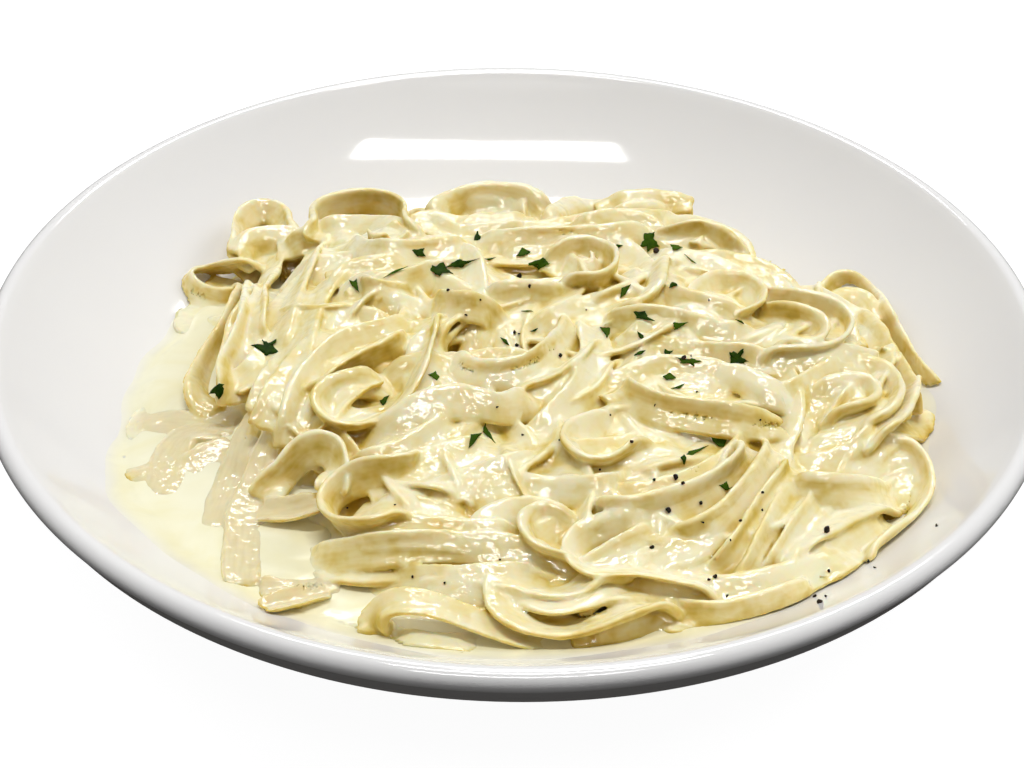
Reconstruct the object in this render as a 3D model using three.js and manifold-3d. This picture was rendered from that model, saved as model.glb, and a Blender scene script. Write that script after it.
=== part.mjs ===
// Fettuccine alfredo in its coupe plate.
// Millimetres, +Z up. The origin is on the table, at the middle of the foot ring.
//
// Three pieces, each one closed solid:
//   plate    a thick round porcelain plate, turned on a lathe
//   sauce    the pool of cream sauce that rings the heap, up to its own level
//   noodles  the heap: a core with the noodles that show fused on, and the parsley

import * as THREE from "three";
import { mergeVertices } from "three/addons/utils/BufferGeometryUtils.js";
import Module from "manifold-3d";

const wasm = await Module();
wasm.setup();

// ---------------------------------------------------------------- dimensions

const plateRadius = 130;
const plateHeight = 40;
const plateWall = 5.4;
const wallSwell = 2; // extra thickness of the wall under the lip
const wallSwellRadius = 118;
const wallSwellSpread = 14;
const wellFloor = 8.2; // height of the plate's lowest inside point
const wellPower = 4; // how late the inside curve climbs
const footRadius = 61; // middle of the foot ring
const footWidth = 6;
const footHeight = 2.6;
const plateSides = 48;

const gap = 0.5; // clearance between pieces that touch

const heapCentre = new THREE.Vector2(4, -12);
const heapRadius = 81; // mean radius of the core's outline
const heapLean = new THREE.Vector2(6, -8); // the outline bulges right and forward
const heapSwells = [
  // direction in degrees, spread in degrees, swell in millimetres
  [30, 25, 4],
  [120, 18, 3],
  [150, 24, 6],
  [214, 24, -12],
];
const heapCrown = 15; // rise of the core above the sauce across the middle
const heapCrownRise = 0.08; // the crown is higher behind, per millimetre
const heapSides = 48; // facets round the core, and round the sauce that rings it

const sauceHeight = 21; // level of the sauce across the middle
const sauceFall = 0.04; // thick sauce stands higher in front, per millimetre
const sauceFallBehind = 0.075;

const noodleWidth = 8.6;
const noodleThickness = 2.3;
const noodleFacet = 6.5; // longest facet along a noodle
const noodleFacetTurn = 26; // sharpest bend from facet to facet, in degrees
const tierHeight = 1.8; // each tier of noodles lies this much higher
const noodleSink = 1.2; // how deep the lowest tier lies in the core
const edgeSink = 0.4; // share of an upright noodle's height that the heap hides

const flakeThickness = 1;
const flakeSink = 0.25; // how deep a parsley flake is pressed in

// Noodles in the order they lie: tier in the heap, where each starts, its heading
// in degrees, and the arcs it runs on in. An arc is a length, a turn in degrees (left
// is positive) and how far the strip stands on edge (90 is upright, outer edge up).
const laidNoodles = [
  // strips that trail into the sauce on the left
  { tier: 0, at: [-53, -22], heading: -107, arcs: [[36, 12, 6], [30, 22, 0]] },
  { tier: 0, at: [-46, -27], heading: -103, arcs: [[58, 15, 6]] },
  { tier: 0, at: [-62, -36], heading: -175, arcs: [[20, 70, 12], [12, 20, 0]] },
  { tier: 0, at: [-58, -34], heading: 168, arcs: [[32, 5, 5]] },
  { tier: 0, at: [-30, -86], heading: -168, arcs: [[22, 15, 0]] },
  // left edge
  { tier: 0, at: [-60, 30], heading: 163, arcs: [[18, 12, 50], [14, 140, 75], [18, 10, 55]] },
  { tier: 0, at: [-78, 18], heading: -80, arcs: [[15, 55, 50], [15, 100, 60]] },
  { tier: 1, at: [-62, 27], heading: -105, arcs: [[34, -5, 60], [24, 45, 70]] },
  { tier: 1, at: [-46, 58], heading: -112, arcs: [[74, 20, 35]] },
  { tier: 1, at: [-36, 50], heading: -110, arcs: [[64, 2, 30]] },
  // back edge
  { tier: 1, at: [-60, 36], heading: 90, arcs: [[20, -20, 70], [28, -95, 80], [26, -45, 70]] },
  { tier: 2, at: [-53, 52], heading: -62, arcs: [[14, 40, 60], [18, 60, 60], [14, 20, 60]] },
  { tier: 1, at: [-24, 38], heading: 70, arcs: [[20, -25, 70], [22, -85, 80], [20, -40, 70]] },
  { tier: 2, at: [-18, 38], heading: 40, arcs: [[31, -70, 45]] },
  { tier: 1, at: [10, 40], heading: 80, arcs: [[16, -40, 70], [10, -100, 80], [16, -20, 70]] },
  { tier: 1, at: [22, 43], heading: 45, arcs: [[33, -80, 75]] },
  { tier: 1, at: [32, 29], heading: 36, arcs: [[37, -105, 60]] },
  { tier: 0, at: [-40, 29], heading: 8, arcs: [[36, -35, 15]] },
  // right edge
  { tier: 0, at: [72, -2], heading: 75, arcs: [[16, -15, 60], [12, -125, 85], [40, -10, 65]] },
  { tier: 1, at: [45, -11], heading: -5, arcs: [[28, 30, 40], [26, 150, 60], [26, 12, 40]] },
  { tier: 1, at: [60, -17], heading: 28, arcs: [[28, -35, 35], [24, -100, 50], [20, -30, 40]] },
  { tier: 2, at: [70, -36], heading: 62, arcs: [[22, -30, 60], [14, -110, 80], [18, -55, 60]] },
  { tier: 2, at: [48, -28], heading: -10, arcs: [[18, -20, 60], [14, 80, 60], [20, -20, 60]] },
  { tier: 1, at: [83, -42], heading: -30, arcs: [[18, -75, 50], [28, -35, 45]] },
  { tier: 1, at: [58, -62], heading: -6, arcs: [[34, 28, 50]] },
  { tier: 1, at: [73, -59], heading: 60, arcs: [[14, -35, 75], [14, -120, 85], [12, -15, 75]] },
  { tier: 2, at: [39, -7], heading: 68, arcs: [[20, -40, 55], [18, -95, 70], [22, -90, 60]] },
  // middle
  { tier: 2, at: [13, 3], heading: 112, arcs: [[18, -60, 65], [20, -105, 75], [25, -80, 65]] },
  { tier: 1, at: [-10, 9], heading: -152, arcs: [[30, 12, 20], [42, 55, 25]] },
  { tier: 1, at: [-53, -12], heading: 90, arcs: [[20, -45, 60], [14, -115, 75], [10, -30, 60]] },
  { tier: 1, at: [37, -91], heading: 66, arcs: [[30, -6, 30], [32, -16, 30]] },
  { tier: 1, at: [12, -78], heading: 15, arcs: [[30, 18, 15], [30, 30, 20]] },
  { tier: 1, at: [8, -70], heading: -6, arcs: [[26, 32, 15], [28, 30, 25]] },
  { tier: 1, at: [-2, -55], heading: -22, arcs: [[42, 38, 5]] },
  { tier: 1, at: [0, -48], heading: -160, arcs: [[40, 15, 20]] },
  { tier: 1, at: [-53, -64], heading: 55, arcs: [[16, -25, 70], [10, -80, 80], [12, -60, 75]] },
  { tier: 1, at: [-36, -62], heading: -140, arcs: [[12, 70, 65], [12, 80, 75], [26, -5, 60]] },
  { tier: 1, at: [30, -60], heading: -150, arcs: [[26, -25, 25], [14, 15, 35], [10, 110, 60]] },
  // front edge
  { tier: 0, at: [-4, -101], heading: -3, arcs: [[52, 25, 10]] },
  { tier: 1, at: [-45, -83], heading: 6, arcs: [[40, -8, 10], [28, -25, 15]] },
  { tier: 1, at: [-31, -92], heading: 8, arcs: [[24, -20, 20], [16, -15, 40], [36, 45, 30]] },
  { tier: 1, at: [20, -72], heading: -172, arcs: [[14, 25, 60], [15, 130, 70]] },
  { tier: 2, at: [27, -82], heading: 170, arcs: [[8, 30, 55], [14, 140, 60], [26, 25, 45], [44, 45, 20]] },
  // on top
  { tier: 2, at: [20, -38], heading: -18, arcs: [[44, 28, -75]] },
  { tier: 2, at: [24, 1], heading: -100, arcs: [[36, -20, 30], [32, -45, 35]] },
  { tier: 2, at: [-36, -55], heading: 58, arcs: [[18, -40, 60], [26, -60, 60]] },
  { tier: 3, at: [-20, -6], heading: -100, arcs: [[32, -20, 45], [22, -100, 60], [32, -160, 62]] },
  { tier: 3, at: [-20, -20], heading: -50, arcs: [[14, 50, 50], [16, 55, 65], [34, 10, 50]] },
];

// The largest parsley flakes: x, y, length and the way they point, in degrees.
const parsleyFlakes = [
  [-64, -2, 5.5, 20],
  [-21, 30, 9, 15],
  [1, 30, 6, 170],
  [33, 36, 5.5, 60],
  [27, 12, 4.5, 50],
  [56, -17, 6, 110],
  [41, -16, 7.5, 5],
  [37, -23, 4.5, 80],
  [-9, -47, 7, 80],
  [47, -58, 7.5, 35],
  [-31, -32, 4, 60],
  [31, -1, 4.5, 160],
];

// ------------------------------------------------------------------ surfaces

const lipRadius = plateWall / 2;
const lipCentre = new THREE.Vector2(plateRadius - lipRadius, plateHeight - lipRadius);
const innerEdge = lipCentre.clone().add(new THREE.Vector2(-lipRadius * 0.71, lipRadius * 0.7));
const wellKnots = [0, 34, 56, 74, 90, 104, 116, innerEdge.x];

// Height of the smooth inside curve of the plate at a radius.
function wellCurve(radius) {
  const share = Math.min(radius / innerEdge.x, 1);
  return wellFloor + (innerEdge.y - wellFloor) * share ** wellPower;
}

// Thickness of the wall below a point of the inside curve.
function wallThickness(radius) {
  return plateWall + wallSwell * Math.exp(-(((radius - wallSwellRadius) / wallSwellSpread) ** 2));
}

// Height of the faceted inside of the plate, straight from knot to knot.
function wellHeight(radius) {
  for (let i = 1; i < wellKnots.length; i++) {
    if (radius <= wellKnots[i]) {
      const share = (radius - wellKnots[i - 1]) / (wellKnots[i] - wellKnots[i - 1]);
      return THREE.MathUtils.lerp(wellCurve(wellKnots[i - 1]), wellCurve(wellKnots[i]), share);
    }
  }
  return innerEdge.y;
}

// Level of the sauce, which creeps up towards the front and ripples a little.
function sauceLevel(x, y) {
  const fall = y < 0 ? sauceFall : sauceFallBehind;
  return sauceHeight - fall * y + 0.25 * Math.sin(x / 9) * Math.cos(y / 11);
}

// Distance from the heap's centre to the outline of its core in one direction.
function heapEdge(angle) {
  let edge = heapRadius + heapLean.x * Math.cos(angle) + heapLean.y * Math.sin(angle);
  for (const [direction, spread, swell] of heapSwells) {
    const turned = THREE.MathUtils.euclideanModulo(angle * THREE.MathUtils.RAD2DEG - direction + 180, 360) - 180;
    edge += swell * Math.exp(-((turned / spread) ** 2));
  }
  return edge;
}

// How far out a point of the heap lies: 0 at its centre and 1 at the core's outline.
function heapShare(x, y) {
  const dx = x - heapCentre.x;
  const dy = y - heapCentre.y;
  return Math.hypot(dx, dy) / heapEdge(Math.atan2(dy, dx));
}

// Top of the core: a crown over the sauce, uneven where bundles of noodles lie.
function coreTop(x, y) {
  const share = Math.min(heapShare(x, y), 1);
  const crown = Math.max(heapCrown + heapCrownRise * y, 0) * (1 - share ** 4) ** 0.7;
  const bundles = Math.sin(x / 8 + y / 21) * Math.cos(y / 10 - x / 27);
  return sauceLevel(x, y) + 0.3 + crown + 0.8 * bundles * Math.min(1, 4 * (1 - share));
}

// What a noodle can lie on at one place: the core, the sauce or the plate.
function ground(x, y, tier, stand) {
  const onPlate = wellHeight(Math.hypot(x, y)) + gap + 0.35;
  const onSauce = sauceLevel(x, y) + gap + 0.2;
  const lowest = Math.max(onPlate, onSauce);
  if (heapShare(x, y) > 1) {
    return lowest;
  }
  const sink = noodleSink + edgeSink * noodleWidth * Math.abs(Math.sin(stand));
  return Math.max(lowest, coreTop(x, y) - sink + tier * tierHeight);
}

// ----------------------------------------------------------------- mesh tools

// Leaves a geometry with shared corners only, as one closed skin.
function weld(geometry) {
  const bare = geometry.clone();
  bare.deleteAttribute("normal");
  bare.deleteAttribute("uv");
  return mergeVertices(bare, 1e-4);
}

// Moves every corner of a geometry to where place(corner) sends it.
function shape(geometry, place) {
  const corners = geometry.getAttribute("position");
  const corner = new THREE.Vector3();
  for (let i = 0; i < corners.count; i++) {
    place(corner.fromBufferAttribute(corners, i));
    corners.setXYZ(i, corner.x, corner.y, corner.z);
  }
  return geometry;
}

function toSolid(geometry) {
  return new wasm.Manifold(
    new wasm.Mesh({
      numProp: 3,
      vertProperties: new Float32Array(geometry.getAttribute("position").array),
      triVerts: new Uint32Array(geometry.index.array),
    }),
  );
}

function toGeometry(solid) {
  const mesh = solid.getMesh();
  const geometry = new THREE.BufferGeometry();
  geometry.setAttribute("position", new THREE.BufferAttribute(mesh.vertProperties, 3));
  geometry.setIndex(new THREE.BufferAttribute(mesh.triVerts, 1));
  return geometry;
}

// A turned body whose profile is given as [radius, height] pairs from foot to top.
function turned(profile, sides) {
  const outline = profile.map(([radius, height]) => new THREE.Vector2(radius, height));
  return weld(new THREE.LatheGeometry(outline, sides)).rotateX(Math.PI / 2);
}

// ---------------------------------------------------------------------- plate

function makePlate() {
  const profile = [];
  const footInside = footRadius - footWidth / 2;
  const footOutside = footRadius + footWidth / 2;
  profile.push([0, footHeight]);
  profile.push([footInside - 1.5, footHeight]);
  profile.push([footInside + 0.5, 0]);
  profile.push([footOutside - 1, 0]);
  // Outside wall, one wall thickness under the inside curve.
  for (const radius of [66, 80, 93, 104, 114, 121]) {
    const slope = wellCurve(radius + 0.5) - wellCurve(radius - 0.5);
    const wall = wallThickness(radius) / Math.hypot(slope, 1);
    profile.push([radius + wall * slope, wellCurve(radius) - wall]);
  }
  // Rounded lip, from its outside round to the inside.
  for (const angle of [-45, 0, 45, 90]) {
    const turn = angle * THREE.MathUtils.DEG2RAD;
    profile.push([lipCentre.x + lipRadius * Math.cos(turn), lipCentre.y + lipRadius * Math.sin(turn)]);
  }
  for (const radius of [...wellKnots].reverse()) {
    profile.push([radius, wellCurve(radius)]);
  }
  return turned(profile, plateSides);
}

// ---------------------------------------------------------------------- sauce

// Where the sauce's edge meets the plate in one direction from the heap's centre.
function sauceEdge(angle) {
  const edgeDepth = 0.9;
  let near = heapEdge(angle) + gap;
  let far = plateRadius;
  for (let i = 0; i < 30; i++) {
    const middle = (near + far) / 2;
    const x = heapCentre.x + middle * Math.cos(angle);
    const y = heapCentre.y + middle * Math.sin(angle);
    const depth = sauceLevel(x, y) - wellHeight(Math.hypot(x, y)) - gap;
    if (depth > edgeDepth) {
      near = middle;
    } else {
      far = middle;
    }
  }
  return near;
}

// A ring cut round the core: its section has a bed on the plate and a free top.
function makeSauce() {
  const bedStations = [0, 0.25, 0.5, 0.75, 1];
  const topStations = [1, 0.66, 0.33, 0];
  // The ring is first turned with the section laid out as station and side.
  const section = [
    ...bedStations.map((station) => [1 + station, 0]),
    ...topStations.map((station) => [1 + station, 1]),
  ];
  section.push(section[0]);
  const ring = turned(section, heapSides);
  return shape(ring, (corner) => {
    const angle = Math.atan2(corner.y, corner.x);
    const station = Math.hypot(corner.x, corner.y) - 1;
    const onTop = corner.z > 0.5;
    const inside = heapEdge(angle) + gap;
    const radius = THREE.MathUtils.lerp(inside, sauceEdge(angle), station);
    corner.x = heapCentre.x + radius * Math.cos(angle);
    corner.y = heapCentre.y + radius * Math.sin(angle);
    corner.z = onTop ? sauceLevel(corner.x, corner.y) : wellHeight(Math.hypot(corner.x, corner.y)) + gap;
  });
}

// -------------------------------------------------------------------- noodles

// The core stands on the plate with an upright wall up to the sauce's level.
function makeCore() {
  const bedStations = [0, 0.4, 0.75, 1];
  const topStations = [1, 0.93, 0.8, 0.64, 0.46, 0.25, 0];
  const section = [
    ...bedStations.map((station) => [station, 0]),
    ...topStations.map((station) => [station, 1]),
  ];
  const core = turned(section, heapSides);
  return shape(core, (corner) => {
    const angle = Math.atan2(corner.y, corner.x);
    const radius = Math.hypot(corner.x, corner.y) * heapEdge(angle);
    const onTop = corner.z > 0.5;
    corner.x = heapCentre.x + radius * Math.cos(angle);
    corner.y = heapCentre.y + radius * Math.sin(angle);
    corner.z = onTop ? coreTop(corner.x, corner.y) : wellHeight(Math.hypot(corner.x, corner.y)) + gap;
  });
}

// The stations of one noodle seen from above: place, heading and stand on edge.
function noodleRoute({ at, heading, arcs }) {
  const stations = [];
  let [x, y] = at;
  let direction = heading * THREE.MathUtils.DEG2RAD;
  for (const [length, turn, stand] of arcs) {
    const steps = Math.max(2, Math.round(length / noodleFacet), Math.round(Math.abs(turn) / noodleFacetTurn));
    const step = length / steps;
    const bend = (turn * THREE.MathUtils.DEG2RAD) / steps;
    const outerEdgeUp = turn > 0 ? -1 : 1;
    for (let i = 0; i < steps; i++) {
      stations.push({ x, y, direction, stand: outerEdgeUp * stand * THREE.MathUtils.DEG2RAD });
      direction += bend / 2;
      x += step * Math.cos(direction);
      y += step * Math.sin(direction);
      direction += bend / 2;
    }
  }
  stations.push({ ...stations.at(-1), x, y, direction });
  return stations;
}

// Averages values with their neighbours along a noodle.
function soften(values, rounds) {
  let soft = values;
  for (let round = 0; round < rounds; round++) {
    const last = soft;
    soft = last.map((value, i) => (last[Math.max(i - 1, 0)] + 2 * value + last[Math.min(i + 1, last.length - 1)]) / 4);
  }
  return soft;
}

// Lays a strip along its route: it rests on the ground and bridges the dips.
function makeNoodle(noodle) {
  const route = noodleRoute(noodle);
  const stands = soften(route.map((station) => station.stand), 2);
  const half = noodleWidth / 2;
  const rest = route.map(({ x, y, direction }, i) => {
    let height = -Infinity;
    for (const across of [-1, -0.5, 0, 0.5, 1]) {
      const reach = across * half * Math.cos(stands[i]);
      const sideX = x - reach * Math.sin(direction);
      const sideY = y + reach * Math.cos(direction);
      const under = ground(sideX, sideY, noodle.tier, stands[i]);
      height = Math.max(height, under - across * half * Math.sin(stands[i]));
    }
    return height + noodleThickness / 2;
  });
  const bridged = rest.map((height, i) => Math.max(...rest.slice(Math.max(i - 1, 0), i + 2)));
  const heights = soften(bridged, 1);

  const strip = weld(new THREE.BoxGeometry(1, noodleWidth, noodleThickness, route.length - 1, 1, 1));
  return shape(strip, (corner) => {
    const i = Math.round((corner.x + 0.5) * (route.length - 1));
    const { x, y, direction } = route[i];
    const before = Math.max(i - 1, 0);
    const after = Math.min(i + 1, route.length - 1);
    const run = Math.hypot(route[after].x - route[before].x, route[after].y - route[before].y);
    const climb = Math.atan2(heights[after] - heights[before], run);
    const side = new THREE.Vector3(-Math.sin(direction), Math.cos(direction), 0);
    const up = new THREE.Vector3(
      -Math.sin(climb) * Math.cos(direction),
      -Math.sin(climb) * Math.sin(direction),
      Math.cos(climb),
    );
    const across = side.clone().multiplyScalar(Math.cos(stands[i])).addScaledVector(up, Math.sin(stands[i]));
    const normal = up.clone().multiplyScalar(Math.cos(stands[i])).addScaledVector(side, -Math.sin(stands[i]));
    const { y: width, z: depth } = corner;
    corner.set(x, y, heights[i]).addScaledVector(across, width).addScaledVector(normal, depth);
  });
}

// A parsley flake: a small three-lobed scrap of leaf lying on the heap.
function makeFlake([x, y, length, pointing], heap) {
  const lobes = 3;
  const outline = new THREE.Shape();
  for (let i = 0; i < 2 * lobes; i++) {
    const angle = (i * Math.PI) / lobes;
    const reach = (i % 2 ? 0.3 : 0.55) * length;
    outline.lineTo(reach * Math.cos(angle), 0.8 * reach * Math.sin(angle));
  }
  const flake = weld(new THREE.ExtrudeGeometry(outline, { depth: flakeThickness, bevelEnabled: false, steps: 1 }));
  const above = new THREE.Raycaster(new THREE.Vector3(x, y, 100), new THREE.Vector3(0, 0, -1));
  const [hit] = above.intersectObject(heap);
  const lie = new THREE.Quaternion().setFromUnitVectors(new THREE.Vector3(0, 0, 1), hit.face.normal);
  flake.rotateZ(pointing * THREE.MathUtils.DEG2RAD);
  flake.translate(0, 0, -flakeSink);
  flake.applyQuaternion(lie);
  return flake.translate(hit.point.x, hit.point.y, hit.point.z);
}

// Joins the pieces and keeps the one outer skin, so that no hollow stays sealed.
function fuse(first, others) {
  let whole = toSolid(first);
  for (const other of others) {
    whole = whole.add(toSolid(other));
  }
  const bodies = whole.decompose().sort((a, b) => b.volume() - a.volume());
  return toGeometry(bodies[0]);
}

function makeNoodles() {
  const heap = fuse(makeCore(), laidNoodles.map(makeNoodle));
  const heapMesh = new THREE.Mesh(heap);
  return fuse(heap, parsleyFlakes.map((flake) => makeFlake(flake, heapMesh)));
}

// ------------------------------------------------------------------- assembly

function piece(name, geometry, colour, roughness) {
  const material = new THREE.MeshStandardMaterial({ color: colour, roughness, metalness: 0 });
  const mesh = new THREE.Mesh(geometry, material);
  mesh.name = name;
  return mesh;
}

const dish = new THREE.Group();
dish.add(piece("plate", makePlate(), "#f4f3f1", 0.12));
dish.add(piece("sauce", makeSauce(), "#f6f1d6", 0.25));
dish.add(piece("noodles", makeNoodles(), "#eadfae", 0.35));

export default dish;
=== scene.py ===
"""Fettuccine alfredo in its coupe plate: the looks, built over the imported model.

The heap is laid noodle by noodle on its own core, the cream is poured into the
gaps, and the parsley and pepper are dropped on top. Lengths are in millimetres
until a piece is made, and the pieces themselves are in metres.
"""

import itertools
import math

import bpy
import numpy as np
from mathutils import Matrix, Vector
from mathutils.bvhtree import BVHTree


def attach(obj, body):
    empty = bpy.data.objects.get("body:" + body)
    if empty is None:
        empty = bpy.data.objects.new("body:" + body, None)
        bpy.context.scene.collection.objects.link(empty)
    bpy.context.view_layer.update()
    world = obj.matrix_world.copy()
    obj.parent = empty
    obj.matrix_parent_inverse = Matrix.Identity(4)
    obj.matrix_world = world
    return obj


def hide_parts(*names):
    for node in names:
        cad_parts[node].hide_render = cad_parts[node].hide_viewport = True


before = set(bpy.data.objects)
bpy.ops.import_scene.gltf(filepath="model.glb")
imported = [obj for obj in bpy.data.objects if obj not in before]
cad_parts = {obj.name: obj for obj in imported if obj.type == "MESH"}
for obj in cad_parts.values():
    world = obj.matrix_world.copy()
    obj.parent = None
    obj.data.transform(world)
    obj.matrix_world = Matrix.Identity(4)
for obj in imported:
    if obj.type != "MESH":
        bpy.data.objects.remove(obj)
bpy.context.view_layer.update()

MM = 0.001

# ---------------------------------------------------- shared with the solids

PLATE_RADIUS = 130.0
PLATE_HEIGHT = 40.0
PLATE_WALL = 5.4
LIP_RADIUS = PLATE_WALL / 2
LIP_CENTRE = (PLATE_RADIUS - LIP_RADIUS, PLATE_HEIGHT - LIP_RADIUS)  # radius and height
WELL_FLOOR = 8.2
WELL_POWER = 4  # how late the wall turns up
WELL_EDGE = (LIP_CENTRE[0] - LIP_RADIUS * 0.71, LIP_CENTRE[1] + LIP_RADIUS * 0.7)
FOOT_RADIUS = 61.0
FOOT_WIDTH = 6.0
FOOT_HEIGHT = 2.6
WALL_SWELL = (118, 14, 2.0)  # radius, width and depth of the thick part under the lip

SAUCE_TOP = 21.0  # over the table, in the middle
SAUCE_FALL = (0.04, 0.075)  # to the back, in the near half and in the far half

HEAP_CENTRE = (4.0, -12.0)
HEAP_RADIUS = 81.0
HEAP_LEAN = (6.0, -8.0)  # how much farther it reaches to the right and to the back
HEAP_SWELLS = [(30, 25, 4), (120, 18, 3), (150, 24, 6), (214, 24, -12)]  # where, spread, size
HEAP_SINK = 2.6  # how far under the cream's level the core's foot is
CROWN = 15.0  # rise of the core over the cream
CROWN_RISE = 0.08  # for each millimetre to the back
SHOULDER = (95, 48, 0.15)  # direction, spread and reach of the fuller far side
SOFTNESS = 0.75  # how much of what lies on the core still stands under a new strip

NOODLE_WIDTH = 8.0  # bare, without its film of cream
NOODLE_THICKNESS = 1.1


def well_height(radius):
    """Inside of the plate at a radius."""
    share = np.minimum(radius / WELL_EDGE[0], 1.0)
    return WELL_FLOOR + (WELL_EDGE[1] - WELL_FLOOR) * share ** WELL_POWER


def wall_thickness(radius):
    """Thickness of the plate's wall at a radius."""
    middle, width, depth = WALL_SWELL
    return PLATE_WALL + depth * np.exp(-(((radius - middle) / width) ** 2))


def sauce_level(x, y):
    """Level of the cream: it stands higher in front, where it was poured."""
    fall = np.where(y < 0, *SAUCE_FALL)
    return SAUCE_TOP - fall * y + 0.25 * np.sin(x / 9) * np.cos(y / 11)


def turned_from(angle, direction):
    """Degrees between an angle and a direction, from -180 to 180."""
    return (np.degrees(angle) - direction + 180) % 360 - 180


def swollen(reach, angle, swells):
    """A reach with a swelling added in each given direction."""
    for direction, spread, swell in swells:
        reach = reach + swell * np.exp(-((turned_from(angle, direction) / spread) ** 2))
    return reach


def heap_edge(angle):
    """How far the heap's core reaches in one direction from its centre."""
    edge = HEAP_RADIUS + HEAP_LEAN[0] * np.cos(angle) + HEAP_LEAN[1] * np.sin(angle)
    return swollen(edge, angle, HEAP_SWELLS)


def heap_share(x, y):
    """0 at the heap's centre and 1 at the edge of its core."""
    dx, dy = x - HEAP_CENTRE[0], y - HEAP_CENTRE[1]
    return np.hypot(dx, dy) / heap_edge(np.arctan2(dy, dx))


# -------------------------------------------------------------- height fields

SPAN = 124.0  # half the width of the grids


class Field:
    """Heights on a square grid over the plate."""

    def __init__(self, cell):
        self.cell = cell
        self.count = int(round(2 * SPAN / cell)) + 1
        line = np.arange(self.count) * cell - SPAN
        self.x, self.y = np.meshgrid(line, line, indexing="ij")
        self.z = np.zeros_like(self.x)

    def index(self, x, y):
        """The nearest grid point."""
        return tuple(np.clip(np.rint((v + SPAN) / self.cell).astype(int), 0, self.count - 1)
                     for v in (x, y))

    def between(self, x, y, values):
        """Values at any places on the plate."""
        return between(values, (x + SPAN) / self.cell, (y + SPAN) / self.cell)


def between(values, *place):
    """Values at places between the grid points, given in cells along each axis."""
    place = [np.clip(p, 0, n - 1.001) for p, n in zip(place, values.shape)]
    base = [p.astype(int) for p in place]
    total = 0.0
    for step in itertools.product((0, 1), repeat=values.ndim):
        weight = 1.0
        for p, b, far in zip(place, base, step):
            weight = weight * (p - b if far else 1 - (p - b))
        total = total + weight * values[tuple(b + far for b, far in zip(base, step))]
    return total


def slides(values, reach, axis):
    """A grid of values slid along one axis, by up to that many cells each way."""
    padding = [(reach, reach) if a == axis else (0, 0) for a in range(values.ndim)]
    padded = np.pad(values, padding, mode="edge")
    for k in range(2 * reach + 1):
        yield padded[(slice(None),) * axis + (slice(k, k + values.shape[axis]),)]


def smooth(values, width, span=3):
    """Rounds a run or a grid off with a bell of that many steps along each axis."""
    reach = int(math.ceil(span * width))
    bell = np.exp(-0.5 * (np.arange(-reach, reach + 1) / width) ** 2)
    bell = (bell / bell.sum()).astype(values.dtype)
    for axis in range(values.ndim):
        total = np.zeros_like(values)
        for weight, slid in zip(bell, slides(values, reach, axis)):
            total += weight * slid
        values = total
    return values


def least_near(values, reach):
    """The least value within a few cells of each one."""
    for axis in range(values.ndim):
        values = np.min(list(slides(values, reach, axis)), axis=0)
    return values


def uneven_field(shape, width, seed):
    """Soft random hills, about -2 to 2 high, that are that many cells across."""
    coarse = max(1.0, width / 3)
    small = [int(math.ceil(n / coarse)) + 2 for n in shape]
    hills = smooth(np.random.default_rng(seed).normal(size=small), width / coarse)
    hills /= hills.std()
    return between(hills, *np.meshgrid(*(np.arange(n) / coarse for n in shape), indexing="ij"))


STREAKS = np.random.default_rng(3).normal(size=(997, 61))  # steps along, lines across
STREAKS = (STREAKS + np.roll(STREAKS, 1, 0) + np.roll(STREAKS, -1, 0)) / 1.8


def streaks(along, across):
    """Uneven lines that run along a strip, about -1 to 1."""
    u, v = along + 20, across + 30
    i, j = np.floor(u).astype(int), np.floor(v).astype(int)
    p, q = u - i, v - j
    p, q = p * p * (3 - 2 * p), q * q * (3 - 2 * q)
    last = STREAKS.shape[1] - 1
    pick = lambda a, b: STREAKS[(i + a) % len(STREAKS), np.clip(j + b, 0, last)]
    return ((pick(0, 0) * (1 - p) + pick(1, 0) * p) * (1 - q)
            + (pick(0, 1) * (1 - p) + pick(1, 1) * p) * q) * 0.6


def uneven_line(count, width, rng):
    """Random numbers of spread 1 that change softly along a run."""
    line = smooth(rng.normal(size=count + 2), width)[:count]
    return line / max(line.std(), 1e-6)


def step_between(low, high, values):
    """Climbs softly from 0 at the low value to 1 at the high one."""
    share = np.clip((values - low) / (high - low), 0, 1)
    return share * share * (3 - 2 * share)


# -------------------------------------------------------------------- camera

VIEW_SIZE = (1024, 768)  # in view points, which all places in the view are given in
FOCAL = 1918.2  # in view points
CAMERA_RISE = math.radians(36.30)
CAMERA_ROLL = math.radians(0.791)
CAMERA_DISTANCE = 0.5
CAMERA_AIM = (-0.000536, 0.012527)  # to the right of the plate's middle, and above it


def place_camera():
    """A camera that looks down at the plate from the front."""
    away = Vector((0, -math.cos(CAMERA_RISE), math.sin(CAMERA_RISE)))
    right = Vector((1, 0, 0))
    up = away.cross(right)
    cos, sin = math.cos(CAMERA_ROLL), math.sin(CAMERA_ROLL)
    across = cos * right + sin * up
    upward = cos * up - sin * right
    target = Vector((CAMERA_AIM[0], 0, 0)) + upward * CAMERA_AIM[1]
    spot = target + away * CAMERA_DISTANCE
    data = bpy.data.cameras.new("camera")
    data.sensor_width = 36.0
    data.lens = FOCAL * data.sensor_width / VIEW_SIZE[0]
    data.clip_start = 0.02
    data.clip_end = 60.0
    camera = bpy.data.objects.new("camera", data)
    turn = Matrix((across, upward, away)).transposed().to_4x4()
    camera.matrix_world = Matrix.Translation(spot) @ turn
    bpy.context.collection.objects.link(camera)
    bpy.context.scene.camera = camera
    return spot, across, upward, away


CAMERA_SPOT, CAMERA_RIGHT, CAMERA_UP, CAMERA_AWAY = place_camera()


def slant_of(px, py):
    """How far a view point lies across and down, for each step away from the camera."""
    return (px - VIEW_SIZE[0] / 2) / FOCAL, (py - VIEW_SIZE[1] / 2) / FOCAL


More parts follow.
